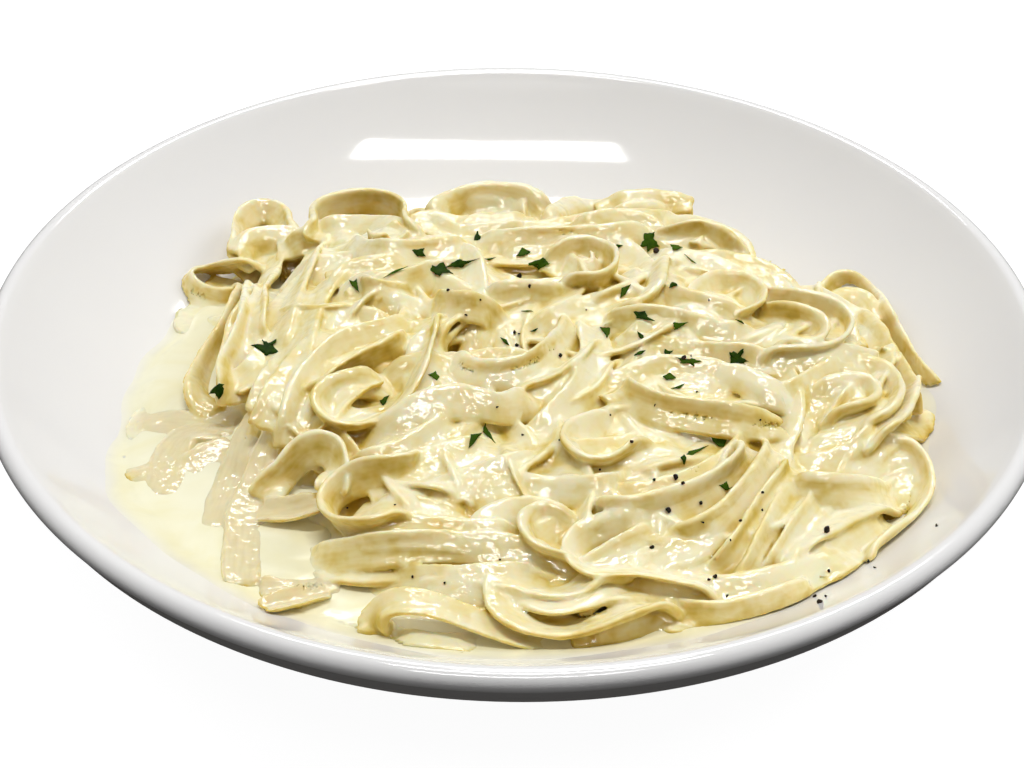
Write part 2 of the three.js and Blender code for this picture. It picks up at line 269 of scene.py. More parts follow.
def sight_line(px, py):
    """Direction from the camera through one view point."""
    across, down = slant_of(px, py)
    return (CAMERA_RIGHT * across - CAMERA_UP * down - CAMERA_AWAY).normalized()


# -------------------------------------------------------------------- noodles

# Strips that show, in the order they lie. Each has how far it stands on edge in
# degrees (positive lifts the edge on the left of its run), how far its middle arches
# up, view points along its middle line, and for some the height that it is held up to
# by what lies under it.
SEEN = [
    # strips that lie in the cream on the left
    (3, 0, [(146, 424), (185, 424), (232, 428)]),
    (4, 0, [(216, 434), (187, 437), (170, 458), (164, 494)]),
    (3, 0, [(128, 477), (152, 470), (180, 460)]),
    (3, 0, [(188, 467), (207, 458), (232, 446)]),
    (6, 0, [(284, 390), (254, 420), (239, 460), (224, 500), (212, 526)]),
    (-6, 0, [(294, 400), (272, 440), (255, 485), (243, 530), (240, 584)]),
    (4, 0, [(334, 584), (300, 588), (266, 590)]),
    (4, 0, [(326, 594), (294, 603), (264, 611)]),
    (8, 0, [(264, 515), (292, 514), (324, 508)]),
    # left edge
    (0, 0, [(192, 283), (216, 287), (246, 291)]),
    (20, 0, [(238, 252), (262, 240), (304, 240)], 28),
    (65, 0, [(240, 252), (243, 226), (257, 212), (277, 215), (290, 240)], 27),
    (65, 0, [(262, 262), (228, 266), (196, 271), (184, 281), (197, 294), (222, 303),
             (248, 302)]),
    (20, 0, [(200, 320), (224, 322), (248, 316)]),
    (40, 0, [(320, 244), (298, 284), (282, 325), (268, 362)]),
    (-60, 0, [(248, 288), (229, 328), (209, 362), (200, 392), (216, 408)]),
    (-45, 0, [(260, 282), (241, 340), (228, 372), (232, 400)]),
    (35, 0, [(276, 254), (263, 290), (255, 325), (252, 352)]),
    (30, 0, [(314, 288), (298, 325), (284, 360), (266, 398)]),
    (35, 0, [(350, 266), (323, 288), (307, 318), (300, 352), (290, 392)]),
    # back edge
    (70, 0, [(314, 240), (317, 215), (341, 204), (373, 202), (401, 212), (410, 240)], 31),
    (25, 0, [(280, 250), (300, 245), (326, 238)], 27),
    (30, 0, [(310, 236), (345, 229), (382, 227), (412, 238)], 29.5),
    (40, 0, [(404, 234), (430, 222), (462, 226), (500, 226), (536, 222)], 30),
    (70, 0, [(436, 224), (452, 205), (490, 196), (525, 200), (549, 219)], 32),
    (30, 0, [(548, 232), (566, 210), (600, 203)], 31),
    (35, 0, [(598, 206), (642, 201), (690, 205)], 32),
    (25, 0, [(570, 234), (620, 222), (655, 222), (692, 222)], 30),
    (60, 0, [(668, 244), (694, 234), (718, 241), (736, 260)], 29),
    (30, 0, [(640, 262), (690, 262), (730, 276), (770, 300)]),
    (50, 0, [(470, 246), (520, 242), (570, 240), (630, 238), (660, 248)]),
    (30, 0, [(340, 246), (380, 258), (430, 256), (480, 252)]),
    (20, 0, [(330, 280), (370, 268), (420, 262)]),
    # right edge
    (0, 0, [(888, 433), (918, 427), (944, 423)]),
    (30, 0, [(828, 330), (838, 304), (856, 300), (872, 320)], 26),
    (60, 0, [(821, 316), (826, 293), (846, 283), (868, 298), (886, 326), (906, 358),
             (926, 386), (936, 404)]),
    (50, 0, [(850, 312), (868, 330), (885, 352), (900, 378), (906, 408)]),
    (35, 0, [(740, 300), (785, 304), (826, 311), (847, 328), (836, 343), (800, 350),
             (755, 357)]),
    (50, 0, [(756, 318), (792, 318), (818, 329), (809, 345), (772, 347)]),
    (20, 0, [(745, 372), (790, 362), (840, 358), (880, 372)]),
    (50, 0, [(765, 396), (790, 398), (822, 378), (852, 368), (882, 374), (894, 396),
             (881, 418), (850, 430)]),
    (45, 0, [(812, 410), (836, 392), (862, 388), (870, 402), (850, 414), (822, 420)]),
    (-30, 0, [(860, 446), (888, 428), (905, 402), (908, 376)]),
    (-20, 0, [(800, 452), (842, 441), (876, 424), (896, 402)]),
    (30, 0, [(790, 462), (826, 466), (856, 455), (886, 436)]),
    (60, 0, [(704, 318), (697, 301), (712, 285), (740, 284), (757, 298), (749, 314),
             (722, 322)]),
    # middle
    (38, 0, [(600, 330), (650, 322), (700, 330), (762, 344)]),
    (40, 0, [(612, 346), (660, 352), (720, 358), (772, 366)]),
    (40, 0, [(650, 300), (700, 308), (750, 326)]),
    (14, 0, [(480, 302), (522, 296), (572, 300)]),
    (20, 0, [(534, 344), (562, 322), (602, 306), (646, 298)]),
    (34, 0, [(600, 400), (640, 376), (690, 372), (740, 384)]),
    (65, 0, [(552, 272), (566, 256), (590, 252), (611, 262), (612, 277), (592, 287),
             (566, 285)]),
    (55, 0, [(656, 262), (651, 290), (633, 306), (606, 312)]),
    (50, 0, [(352, 302), (359, 289), (386, 288), (420, 281), (444, 272)]),
    (-34, 0, [(424, 322), (382, 334), (346, 346), (316, 370), (298, 402), (290, 442)]),
    (-45, 0, [(416, 340), (392, 351), (362, 362), (336, 378), (316, 402)]),
    (-20, 0, [(340, 330), (312, 350), (286, 386), (262, 424)]),
    (14, 0, [(300, 440), (326, 424), (340, 400), (370, 382)]),
    (-27, 0, [(505, 398), (540, 383), (570, 364), (592, 346)]),
    (40, 0, [(345, 478), (386, 462), (426, 442), (464, 420)]),
    (34, 0, [(372, 492), (412, 474), (456, 458), (500, 452)]),
    (20, 0, [(420, 500), (460, 486), (510, 470), (550, 462)]),
    (27, 0, [(540, 470), (580, 474), (640, 468), (690, 450)]),
    (35, 0, [(600, 500), (650, 498), (700, 480), (736, 456), (754, 438)]),
    (40, 0, [(640, 530), (690, 516), (736, 490), (772, 458)]),
    (40, 0, [(700, 562), (731, 526), (766, 490), (792, 458)]),
    (40, 0, [(742, 590), (762, 550), (788, 508), (812, 480)]),
    (32, 0, [(640, 560), (690, 550), (722, 520)]),
    (-20, 0, [(780, 560), (812, 534), (848, 514), (886, 504)]),
    (43, 0, [(672, 546), (704, 532), (738, 505), (766, 474), (776, 448)]),
    (35, 0, [(722, 580), (748, 540), (774, 502), (796, 470)]),
    (35, 0, [(768, 592), (790, 555), (812, 520), (834, 496)]),
    (40, 0, [(586, 516), (640, 512), (690, 500), (728, 476), (748, 450)]),
    (38, 0, [(800, 590), (830, 560), (862, 538), (890, 528)]),
    # front edge
    (40, 2.5, [(302, 563), (370, 551), (440, 546), (510, 552), (562, 568)]),
    (20, 0, [(338, 542), (400, 534), (452, 536), (522, 540)]),
    (35, 1.5, [(375, 585), (430, 581), (490, 579), (542, 582)]),
    (20, 0, [(400, 598), (450, 596), (500, 604), (540, 614)]),
    (40, 0, [(575, 640), (620, 629), (662, 616), (704, 606)]),
    (55, 0, [(672, 618), (722, 616), (772, 606), (822, 593)]),
    (-20, 0, [(514, 572), (501, 592), (510, 613), (541, 628), (586, 627), (632, 613),
             (672, 604)]),
    (20, 0, [(630, 574), (700, 591), (760, 588), (816, 572), (852, 553)]),
    # on top
    (0, 0, [(492, 650), (446, 647), (408, 644), (384, 636)]),
    (65, 3, [(264, 494), (282, 474), (304, 454), (328, 450), (341, 467), (334, 490)]),
    (-60, 0, [(424, 470), (386, 475), (351, 481), (329, 500), (336, 522), (366, 526),
             (412, 516)]),
    (36, 2.9, [(372, 447), (396, 425), (430, 407), (466, 402), (500, 409), (542, 402)]),
    (55, 0, [(436, 322), (427, 350), (414, 380), (393, 408), (362, 426), (334, 424),
             (321, 406), (334, 390), (358, 384), (386, 384)]),
    (40, 2.9, [(424, 304), (460, 308), (492, 318), (506, 342)]),
    (50, 2, [(444, 356), (470, 371), (500, 374), (530, 366), (556, 347), (577, 324)]),
    (-15, 0, [(589, 324), (594, 355), (582, 390), (556, 420), (528, 442)]),
    (5, 0, [(484, 474), (477, 494), (476, 512)]),
    (35, 0, [(500, 488), (546, 491), (592, 494), (628, 489)]),
    (50, 0, [(644, 446), (602, 463), (578, 456), (571, 441), (590, 430), (624, 428)]),
    (55, 0, [(478, 552), (484, 529), (506, 514), (534, 512), (556, 524)]),
    (-60, 0, [(578, 540), (561, 521), (541, 515), (528, 528), (535, 546), (556, 556),
             (584, 562)]),
    (-55, 0, [(656, 530), (612, 528), (583, 538), (574, 556), (591, 573), (632, 573),
             (682, 582), (724, 594)]),
    (10, 0, [(894, 450), (903, 474), (901, 498), (892, 520)]),
    (40, 0, [(846, 500), (862, 470), (888, 458), (906, 470), (908, 498)]),
    (-60, 0, [(852, 573), (876, 546), (906, 520), (923, 495), (920, 470), (901, 452),
             (875, 450), (858, 466), (850, 490)]),
    (45, 2, [(782, 487), (820, 491), (862, 493), (900, 499)]),
    (30, 2, [(700, 392), (736, 378), (770, 395), (802, 404)]),
    (55, 3, [(616, 391), (655, 408), (696, 416), (740, 423), (783, 425)]),
]

# A strip that arches up out of the cream in front: view points and heights.
FRONT_ARCH = [
    (382, 644, 21), (375, 626, 26), (384, 608, 30.5), (404, 602, 32.5), (434, 606, 32),
    (470, 619, 29.5), (508, 633, 26.5), (545, 642, 24),
]

POOL_STRIPS = 9  # how many of them, from the first, lie in the cream
TOP_STRIPS = 20  # how many of them, up to the last, lie free on top
END_DIP = 2.4  # how far its ends sink
FREE_LIFT = 3  # one that arches up this far has free ends
STRIP_STEP = 1.0  # spacing of the points along a strip while it is laid
VIEW_STEP = 3.0  # spacing of the view points along one
UNDER_COUNT = 60  # strips of the layer below, which shows between the others
FLANK_COUNT = 44  # strips along the far flank
FLANK_ARC = (34, 128)  # where one starts, in degrees round the heap
FLANK_TURN = (16, 34)  # how many degrees it goes on for
FLANK_LEVEL = (12, 25)  # its height over the table
FLANK_STAND = (48, 68)  # how far it stands on edge
STACK_FOOT = 13  # height down to which a held strip has others under it
SINK_UNDER, SINK_BESIDE, SINK_SEEN, SINK_POOL = 1.2, 1.1, 0.7, 0.2  # into what they lie on


def run_out(x, y, heading, arcs, rng):
    """Path of a soft strip with small wavers, from a start through a chain of arcs."""
    turn = np.concatenate([np.full(int(length), angle / length) for length, angle, _ in arcs])
    stand = [np.full(int(length), -roll if angle > 0 else roll) for length, angle, roll in arcs]
    turn = smooth(turn, 2.0)
    stand = smooth(np.concatenate(stand).astype(float), 4.0)
    count = len(turn)
    turn = turn + np.gradient(uneven_line(count, 5.0, rng)) * 3.0
    stand = stand + uneven_line(count, 7.0, rng) * 5.0
    aim = np.radians(heading + np.r_[0, np.cumsum(turn)])
    middle = (aim[1:] + aim[:-1]) / 2
    px = np.r_[x, x + np.cumsum(np.cos(middle)) * STRIP_STEP]
    py = np.r_[y, y + np.cumsum(np.sin(middle)) * STRIP_STEP]
    return px, py, aim, lie_down(np.radians(np.r_[stand[0], stand]), 9.0)


def under_routes(rng):
    """Loose strips of the layer below, drawn at random over the heap."""
    routes = []
    while len(routes) < UNDER_COUNT:
        angle = rng.uniform(0, 2 * math.pi)
        reach = heap_edge(angle) * math.sqrt(rng.uniform(0, 0.72))
        x = HEAP_CENTRE[0] + reach * math.cos(angle)
        y = HEAP_CENTRE[1] + reach * math.sin(angle)
        bend = rng.choice([-1, 1])
        arcs = []
        for _ in range(rng.integers(2, 4)):
            length = rng.uniform(14, 28)
            arcs.append((length, bend * rng.uniform(20, 95), rng.uniform(5, 55)))
            bend = bend * rng.choice([-1, 1, 1])
        plan = x, y, rng.uniform(0, 360), arcs
        trial = run_out(*plan, np.random.default_rng(0))
        if heap_share(trial[0], trial[1]).max() < 0.9:
            routes.append(plan)
    return routes


def core_top(x, y):
    """The loose middle of the heap, which the strips that show lie on."""
    direction, spread, reach = SHOULDER
    angle = np.arctan2(y - HEAP_CENTRE[1], x - HEAP_CENTRE[0])
    shoulder = np.exp(-((turned_from(angle, direction) / spread) ** 4))
    share = np.minimum(heap_share(x, y) / (1 + reach * shoulder), 1)
    crown = np.maximum(CROWN + CROWN_RISE * y, 0) * (1 - share ** 8) ** 0.6
    return sauce_level(x, y) - HEAP_SINK + crown


def aside(x, y, aim, gap):
    """A path moved to the left of its run by a gap."""
    return x - np.sin(aim) * gap, y + np.cos(aim) * gap


def at_steps(t, path, z):
    """A path and its heights at any places along it."""
    whole = np.arange(len(z))
    return (np.interp(t, whole, v) for v in (*path[:2], z, *path[2:]))


def standing(stand, count, waver, width, rng):
    """How far a strip stands on edge along its run, with a soft waver."""
    return lie_down(np.radians(stand + waver * uneven_line(count, width, rng)))


def lie(ground, path, sink):
    """Heights of a strip that comes to rest on what lies there already."""
    px, py, aim, roll = path
    need = np.full(len(px), -99.0)
    for u in np.linspace(-1, 1, 9):
        x, y = aside(px, py, aim, u * NOODLE_WIDTH / 2 * np.cos(roll))
        under, bed = ground.z[ground.index(x, y)], core_top(x, y)
        # What lies below gives way a little under each strip.
        under = np.where(under > bed, bed + (under - bed) * SOFTNESS, under)
        need = np.maximum(need, under - u * NOODLE_WIDTH / 2 * np.sin(roll) * 0.6)
    need += NOODLE_THICKNESS / 2
    padded = np.pad(need, 3, mode="edge")
    bridged = np.max([padded[i:i + len(need)] for i in range(7)], axis=0)
    return smooth(bridged, 4.0) - sink


def press_in(ground, path, z, share=0.6):
    """Raises the field to the top of a strip."""
    fine = int(math.ceil(2 * STRIP_STEP / ground.cell))
    length = len(z) - 1
    x, y, z, aim, roll = at_steps(np.linspace(0, length, fine * length + 1), path, z)
    for u in np.linspace(-1, 1, int(2.4 * NOODLE_WIDTH / ground.cell)):
        top = z + u * NOODLE_WIDTH / 2 * np.sin(roll) * share
        top = top + NOODLE_THICKNESS / 2 * np.abs(np.cos(roll))
        place = aside(x, y, aim, u * NOODLE_WIDTH / 2 * np.cos(roll))
        np.maximum.at(ground.z, ground.index(*place), top)


def bare_ground(cell):
    """The plate, the pool of cream and the heap's core, without the noodles."""
    ground = Field(cell)
    x, y = ground.x, ground.y
    mound = core_top(x, y)
    ground.z = np.maximum(well_height(np.hypot(x, y)), mound)
    ground.z = np.maximum(ground.z, sauce_level(x, y) - 0.9)
    return ground


def flowing(points, spacing):
    """A smooth run through points of any number of measures, at even steps."""
    points = np.array(points, dtype=float)
    points = np.vstack([2 * points[0] - points[1], points, 2 * points[-1] - points[-2]])
    run = []
    for i in range(1, len(points) - 2):
        a, b, c, d = points[i - 1:i + 3]
        t = np.linspace(0, 1, 40, endpoint=i == len(points) - 3)[:, None]
        run.append(0.5 * (2 * b + (c - a) * t + (2 * a - 5 * b + 4 * c - d) * t ** 2
                          + (3 * b - a - 3 * c + d) * t ** 3))
    run = np.vstack(run)
    return even_steps(run, spacing)


def even_steps(run, spacing, measures=None):
    """The same run at even steps, as long as its first measures say it is."""
    steps = np.linalg.norm(np.diff(run[:, :measures], axis=0), axis=1)
    reach = np.r_[0, np.cumsum(steps)]
    count = max(int(reach[-1] / spacing), 4) + 1
    along = np.linspace(0, reach[-1], count)
    return np.stack([np.interp(along, reach, column) for column in run.T], axis=1)


def seen_at(px, py, z):
    """Where the camera's sight lines through view points reach a height."""
    across, down = slant_of(px, py)
    axes = np.array([CAMERA_RIGHT, CAMERA_UP, CAMERA_AWAY])
    aim = across[:, None] * axes[0] - down[:, None] * axes[1] - axes[2]
    spot = np.array(CAMERA_SPOT) / MM
    far = (z - spot[2]) / aim[:, 2]
    return spot[0] + far * aim[:, 0], spot[1] + far * aim[:, 1]


def heading_of(x, y):
    """Direction of a path at each of its points."""
    aim = np.unwrap(np.arctan2(np.gradient(y), np.gradient(x)))
    return smooth(aim, 1.2)


def run_over_core(points, held):
    """Even steps along a strip: where it runs over the bare heap, and its view points."""
    px, py = flowing(points, VIEW_STEP).T
    x, y = seen_at(px, py, np.full(len(px), 30.0))
    for _ in range(3):
        lowest = np.maximum(well_height(np.hypot(x, y)), held)
        x, y = seen_at(px, py, np.maximum(core_top(x, y) + 3, lowest))
    return even_steps(np.stack([x, y, px, py], axis=1), STRIP_STEP, 2)


def away_from_ends(count, reach):
    """0 at both ends of a strip, and 1 from that far in."""
    along = np.arange(count) * STRIP_STEP
    return step_between(0.0, reach, np.minimum(along, along[::-1]))


def lie_down(roll, reach=6.0):
    """Lets both ends of a strip lie flatter than its middle."""
    return roll * (0.15 + 0.85 * away_from_ends(len(roll), min(reach, len(roll) / 2.5)))


def dip_ends(z):
    """Lets the ends of a strip sink into the cream."""
    return z - END_DIP * (1 - away_from_ends(len(z), min(7.0, len(z) / 3)))


def settle(ground, stand, lift, run, held, sink, rng):
    """Path and heights of a strip that shows along its view points."""
    for _ in range(2):
        x, y, px, py = run.T
        roll = standing(stand, len(x), 8.0, 9.0, rng)
        z = lie(ground, (x, y, heading_of(x, y), roll), sink)
        if lift < FREE_LIFT and sink == SINK_SEEN:
            z = dip_ends(z)
        z = np.maximum(z + lift * np.sin(np.linspace(0, math.pi, len(x))), held)
        x, y = seen_at(px, py, smooth(z, 3.0))
        run = even_steps(np.stack([x, y, px, py, z, roll], axis=1), STRIP_STEP, 2)
        z, roll = run.T[4:]
        run = run[:, :4]
    x, y = smooth(run[:, 0], 1.0), smooth(run[:, 1], 1.0)
    return (x, y, heading_of(x, y), roll), z


def beside(run, stand, rng):
    """A loose neighbour that runs along a strip and dips under it."""
    count = len(run)
    first = int(count * rng.uniform(0.0, 0.25))
    last = int(count * rng.uniform(0.75, 1.0))
    if last - first < 10:
        return None
    x, y = run[first:last, 0], run[first:last, 1]
    aim = heading_of(x, y)
    gap = rng.choice([-1, 1]) * np.linspace(rng.uniform(4, 8.5), rng.uniform(4, 8.5), len(x))
    gap = gap + 0.8 * uneven_line(len(x), 8.0, rng)
    x, y = even_steps(np.stack(aside(x, y, aim, gap), axis=1), STRIP_STEP).T
    roll = standing(stand * rng.uniform(0.2, 0.8), len(x), 9.0, 7.0, rng)
    return x, y, heading_of(smooth(x, 2.0), smooth(y, 2.0)), roll


def flank_strips(rng):
    """Loose strips that lie along the far flank of the heap, one above another."""
    shares = np.linspace(0.8, 1.35, 56)
    for _ in range(FLANK_COUNT):
        first = rng.uniform(*FLANK_ARC)
        turn = np.radians(first + np.arange(0, rng.uniform(*FLANK_TURN), 1.0))
        height = rng.uniform(*FLANK_LEVEL) + 1.8 * uneven_line(len(turn), 7.0, rng)
        x, y = [], []
        for angle, level in zip(turn, height):
            reach = heap_edge(angle) * shares
            column = (HEAP_CENTRE[0] + reach * math.cos(angle),
                      HEAP_CENTRE[1] + reach * math.sin(angle))
            outside = np.nonzero(core_top(*column) < level)[0]
            spot = outside[0] if len(outside) else -1
            x.append(column[0][spot])
            y.append(column[1][spot])
        x, y = smooth(np.array(x), 1.5), smooth(np.array(y), 1.5)
        run = np.stack([x, y, height], axis=1)
        x, y, z = even_steps(run, STRIP_STEP, 2).T
        roll = standing(rng.uniform(*FLANK_STAND), len(x), 8.0, 8.0, rng)
        yield (x, y, heading_of(x, y), roll), z


def stack_under(run, stand, held):
    """Strips that lie under a raised one, down to the cream, and carry it."""
    pitch = NOODLE_WIDTH * abs(math.sin(math.radians(stand))) * 0.9 + 1.2
    x, y = seen_at(run[:, 2], run[:, 3], np.full(len(run), held))
    aim = np.arctan2(y - HEAP_CENTRE[1], x - HEAP_CENTRE[0])
    for step in range(int((held - STACK_FOOT) / pitch), 0, -1):
        inner = 0.5 * step
        path = np.stack([x - inner * np.cos(aim), y - inner * np.sin(aim)], axis=1)
        px, py = even_steps(path, STRIP_STEP).T
        z = np.full(len(px), held - step * pitch)
        yield (px, py, heading_of(px, py), np.full(len(px), math.radians(stand * 0.9))), z


def lay_noodles():
    """Lays every strip in turn and gives each one's path and heights."""
    rng = np.random.default_rng(7)
    ground = bare_ground(1.0)
    strips = []

    def lay(path, z):
        press_in(ground, path, z)
        strips.append((path, z))

    for number, plan in enumerate(under_routes(rng)):
        path = run_out(*plan, np.random.default_rng(1000 + number))
        lay(path, dip_ends(lie(ground, path, SINK_UNDER)))
    runs = []
    for stand, lift, points, *held in SEEN:
        held = held[0] if held else 0.0
        runs.append((stand, lift, run_over_core(points, held), held))
    for path, z in flank_strips(np.random.default_rng(31)):
        lay(path, z)
    for stand, _, run, held in runs:
        if held:
            for path, z in stack_under(run, stand, held):
                lay(path, z)
    for number, (stand, _, run, _) in enumerate(runs[:-TOP_STRIPS]):
        rng = np.random.default_rng(2000 + number)
        for _ in range(0 if number < POOL_STRIPS else 2):
            path = beside(run, stand, rng)
            if path is not None and heap_share(path[0], path[1]).max() < 1.05:
                lay(path, dip_ends(lie(ground, path, SINK_BESIDE)))
    for number, (stand, lift, run, held) in enumerate(runs):
        sink = SINK_POOL if number < POOL_STRIPS else SINK_SEEN
        lay(*settle(ground, stand, lift, run, held, sink, np.random.default_rng(3000 + number)))
    px, py, z = flowing(FRONT_ARCH, VIEW_STEP).T
    x, y = seen_at(px, py, z)
    x, y, z = even_steps(np.stack([x, y, z], axis=1), STRIP_STEP).T
    lay((x, y, heading_of(x, y), np.full(len(x), 0.1)), z)
    return strips


# ---------------------------------------------------------------------- cream


RIM_DIP = 0.12  # how far the very edge of the pool ends under the plate's surface
LEAST_DEPTH = 1.1  # of the pool inside its rim
UNDER_POOL = 0.35  # how far under the pool's level the cream in the heap stops
BED_GAP = 0.06  # how far its bed lies over the plate
POOL_RIM = 8.0  # width of its rounded rim
POOL_SWELLS = [(-140, 20, 5), (35, 20, -6)]  # where, spread, size


def sauce_reach(angle):
    """How far the cream reaches up the plate in one direction."""
    reach = swollen(100 + 3 * np.cos(angle) - 13 * np.sin(angle), angle, POOL_SWELLS)
    ripples = 1.1 * np.sin(7 * angle + 1.0) + 0.8 * np.sin(13 * angle + 4.0)
    return reach + ripples + 0.5 * np.sin(29 * angle)


# Places where the cream lies over the noodles, as the camera sees them: the middle,
# half the width and half the height, in view points.
CREAM_PATCHES = [
    (470, 450, 34, 20), (655, 518, 36, 14), (290, 530, 30, 14), (770, 290, 50, 18),
    (345, 420, 28, 8), (596, 447, 22, 8), (515, 330, 18, 16), (300, 400, 16, 40),
    (430, 346, 14, 30), (480, 604, 40, 12), (640, 440, 40, 10), (300, 540, 40, 10),
    (400, 300, 30, 12), (560, 230, 40, 12), (560, 385, 40, 12),
]

# Curls that the cream half fills, with how far it rises in each.
FILLED_CURLS = [
    (376, 500, 24, 10, 2.5), (780, 338, 34, 9, 2), (722, 304, 20, 8, 1.5),
    (596, 272, 14, 6, 1.5), (850, 398, 16, 8, 1.5), (396, 300, 26, 7, 1.5),
    (560, 545, 14, 7, 1),
]

# Deep places that stay open between the strips, with how deep each goes.
HOLLOWS = [
    (461, 340, 18, 6, 5), (487, 338, 7, 6, 3), (316, 471, 17, 12, 5), (360, 491, 18, 8, 3),
    (350, 396, 18, 9, 2.5), (428, 423, 28, 9, 4), (582, 267, 16, 8, 4),
    (710, 398, 12, 5, 3), (740, 401, 10, 5, 3), (746, 385, 12, 5, 3), (763, 448, 22, 8, 5),
    (880, 468, 18, 12, 4), (430, 636, 36, 12, 5), (603, 552, 22, 9, 4),
    (512, 520, 22, 6, 3), (532, 586, 14, 6, 3), (598, 598, 32, 7, 4), (830, 548, 22, 7, 4),
    (862, 526, 12, 5, 3), (808, 505, 20, 6, 3), (388, 292, 28, 6, 3), (331, 305, 9, 9, 3),
    (387, 235, 14, 9, 3), (338, 216, 14, 7, 3), (218, 274, 32, 7, 3), (802, 336, 12, 8, 3),
    (746, 312, 9, 8, 2.5), (709, 291, 9, 7, 2.5), (842, 296, 9, 8, 3),
    (660, 270, 8, 10, 2.5), (790, 406, 18, 8, 3), (832, 402, 10, 6, 2),
    (492, 280, 10, 6, 2), (385, 355, 18, 6, 2),
]


def soft_spot(x, y, spot):
    """1 in the middle of an oval spot, and below 0 well outside it."""
    px, py, wide, high = spot[:4]
    place = np.array([0.0]), np.array([0.0])
    for _ in range(4):
        place = seen_at(np.array([float(px)]), np.array([float(py)]), core_top(*place) + 4)
    long, short = wide / 3.7, high / 2.4
    return 1.3 - np.hypot((x - place[0]) / long, (y - place[1]) / short)


def pour_cream(strips):
    """The top of the noodles, and the level that the cream fills them up to."""
    field = bare_ground(0.7)
    for path, z in strips[:-1]:
        press_in(field, path, z)
    x, y = field.x, field.y
    share = heap_share(x, y)
    wide = smooth(field.z, 3.2 / field.cell)
    tight = smooth(field.z, 1.5 / field.cell)
    slow = uneven_field(x.shape, 9 / field.cell, 11)
    fine = uneven_field(x.shape, 3 / field.cell, 12)
    cover = np.zeros_like(x)
    for spot in CREAM_PATCHES:
        cover = np.maximum(cover, soft_spot(x, y, spot) + 0.25 * slow + 0.12 * fine)
    cover = np.maximum(step_between(0.0, 0.8, cover), step_between(1.5, 2.5, slow + 0.3 * fine))
    low = smooth(least_near(field.z, 3), 1.5 / field.cell)
    filled = np.minimum(low - 0.5, wide - 1.0) + 0.45 * slow
    coated = 0.6 * tight + 0.4 * wide + 0.15 + 0.12 * fine
    fill = filled + cover * (coated - filled)
    for spot in FILLED_CURLS:
        fill = fill + spot[4] * step_between(0.0, 0.9, soft_spot(x, y, spot))
    for spot in HOLLOWS:
        fill = fill - spot[4] * step_between(0.0, 0.9, soft_spot(x, y, spot))
    level = sauce_level(x, y) + 0.12 * slow
    outside = step_between(0.90, 1.05, share)
    fill = fill * (1 - outside) + np.minimum(fill, level - UNDER_POOL) * outside
    fill = np.maximum(fill, level - UNDER_POOL)
    return field, fill


def pool_top(field):
    """Top of the pool and how far each point lies inside the cream's outline."""
    x, y = field.x, field.y
    radius = np.hypot(x, y)
    slow = uneven_field(x.shape, 9 / field.cell, 13)
    fine = uneven_field(x.shape, 2.5 / field.cell, 14)
    plate = well_height(radius)
    inset = sauce_reach(np.arctan2(y, x)) - radius
    ramp = np.clip(inset / POOL_RIM, 0, 1)
    rim = 0.3 * ramp * (2 - ramp) + 0.7 * ramp * ramp * (3 - 2 * ramp)
    level = sauce_level(x, y) + 0.12 * slow + 0.03 * fine
    depth = np.maximum(level - plate, LEAST_DEPTH + 0.12 * fine)
    return plate - RIM_DIP + (depth + RIM_DIP) * rim, inset


# --------------------------------------------------------------------- meshes


def make_piece(name, corners, faces, material, node=None, values=None):
    """A smooth closed mesh from corners in millimetres."""
    mesh = bpy.data.meshes.new(name)
    mesh.from_pydata((np.asarray(corners) * MM).tolist(), [], faces)
    mesh.validate()
    mesh.shade_smooth()
    for label, numbers in (values or {}).items():
        layer = mesh.attributes.new(label, "FLOAT", "POINT")
        layer.data.foreach_set("value", np.asarray(numbers, dtype=np.float32))
    piece = bpy.data.objects.new(name, mesh)
    bpy.context.collection.objects.link(piece)
    mesh.materials.append(material)
    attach(piece, "root")
    if node:
        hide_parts(node)
    return piece


def band(lower, upper):
    """Faces between two closed rows of corners, given by their numbers."""
    rows = lower, lower[1:] + lower[:1], upper[1:] + upper[:1], upper
    return [list(face) for face in zip(*rows)]


def fan(ring, tip):
    """Faces between a closed row of corners and a tip."""
    return [[a, b, tip] for a, b in zip(ring, ring[1:] + ring[:1])]


VOXEL = 0.5  # spacing of the points that the heap's skin is worked out on
STRIP_ROUND = 0.5  # rounding of a strip's edges
SKIN_REACH = 1.4  # how far from a strip its distance is worked out
BLOCK_STEP = 0.8  # a strip is a row of blocks that far apart
BLOCK_HALF = 1.2  # half the length of a block
STRIP_SHIFT = 53.0  # sets the lines of each strip apart from those of the one before


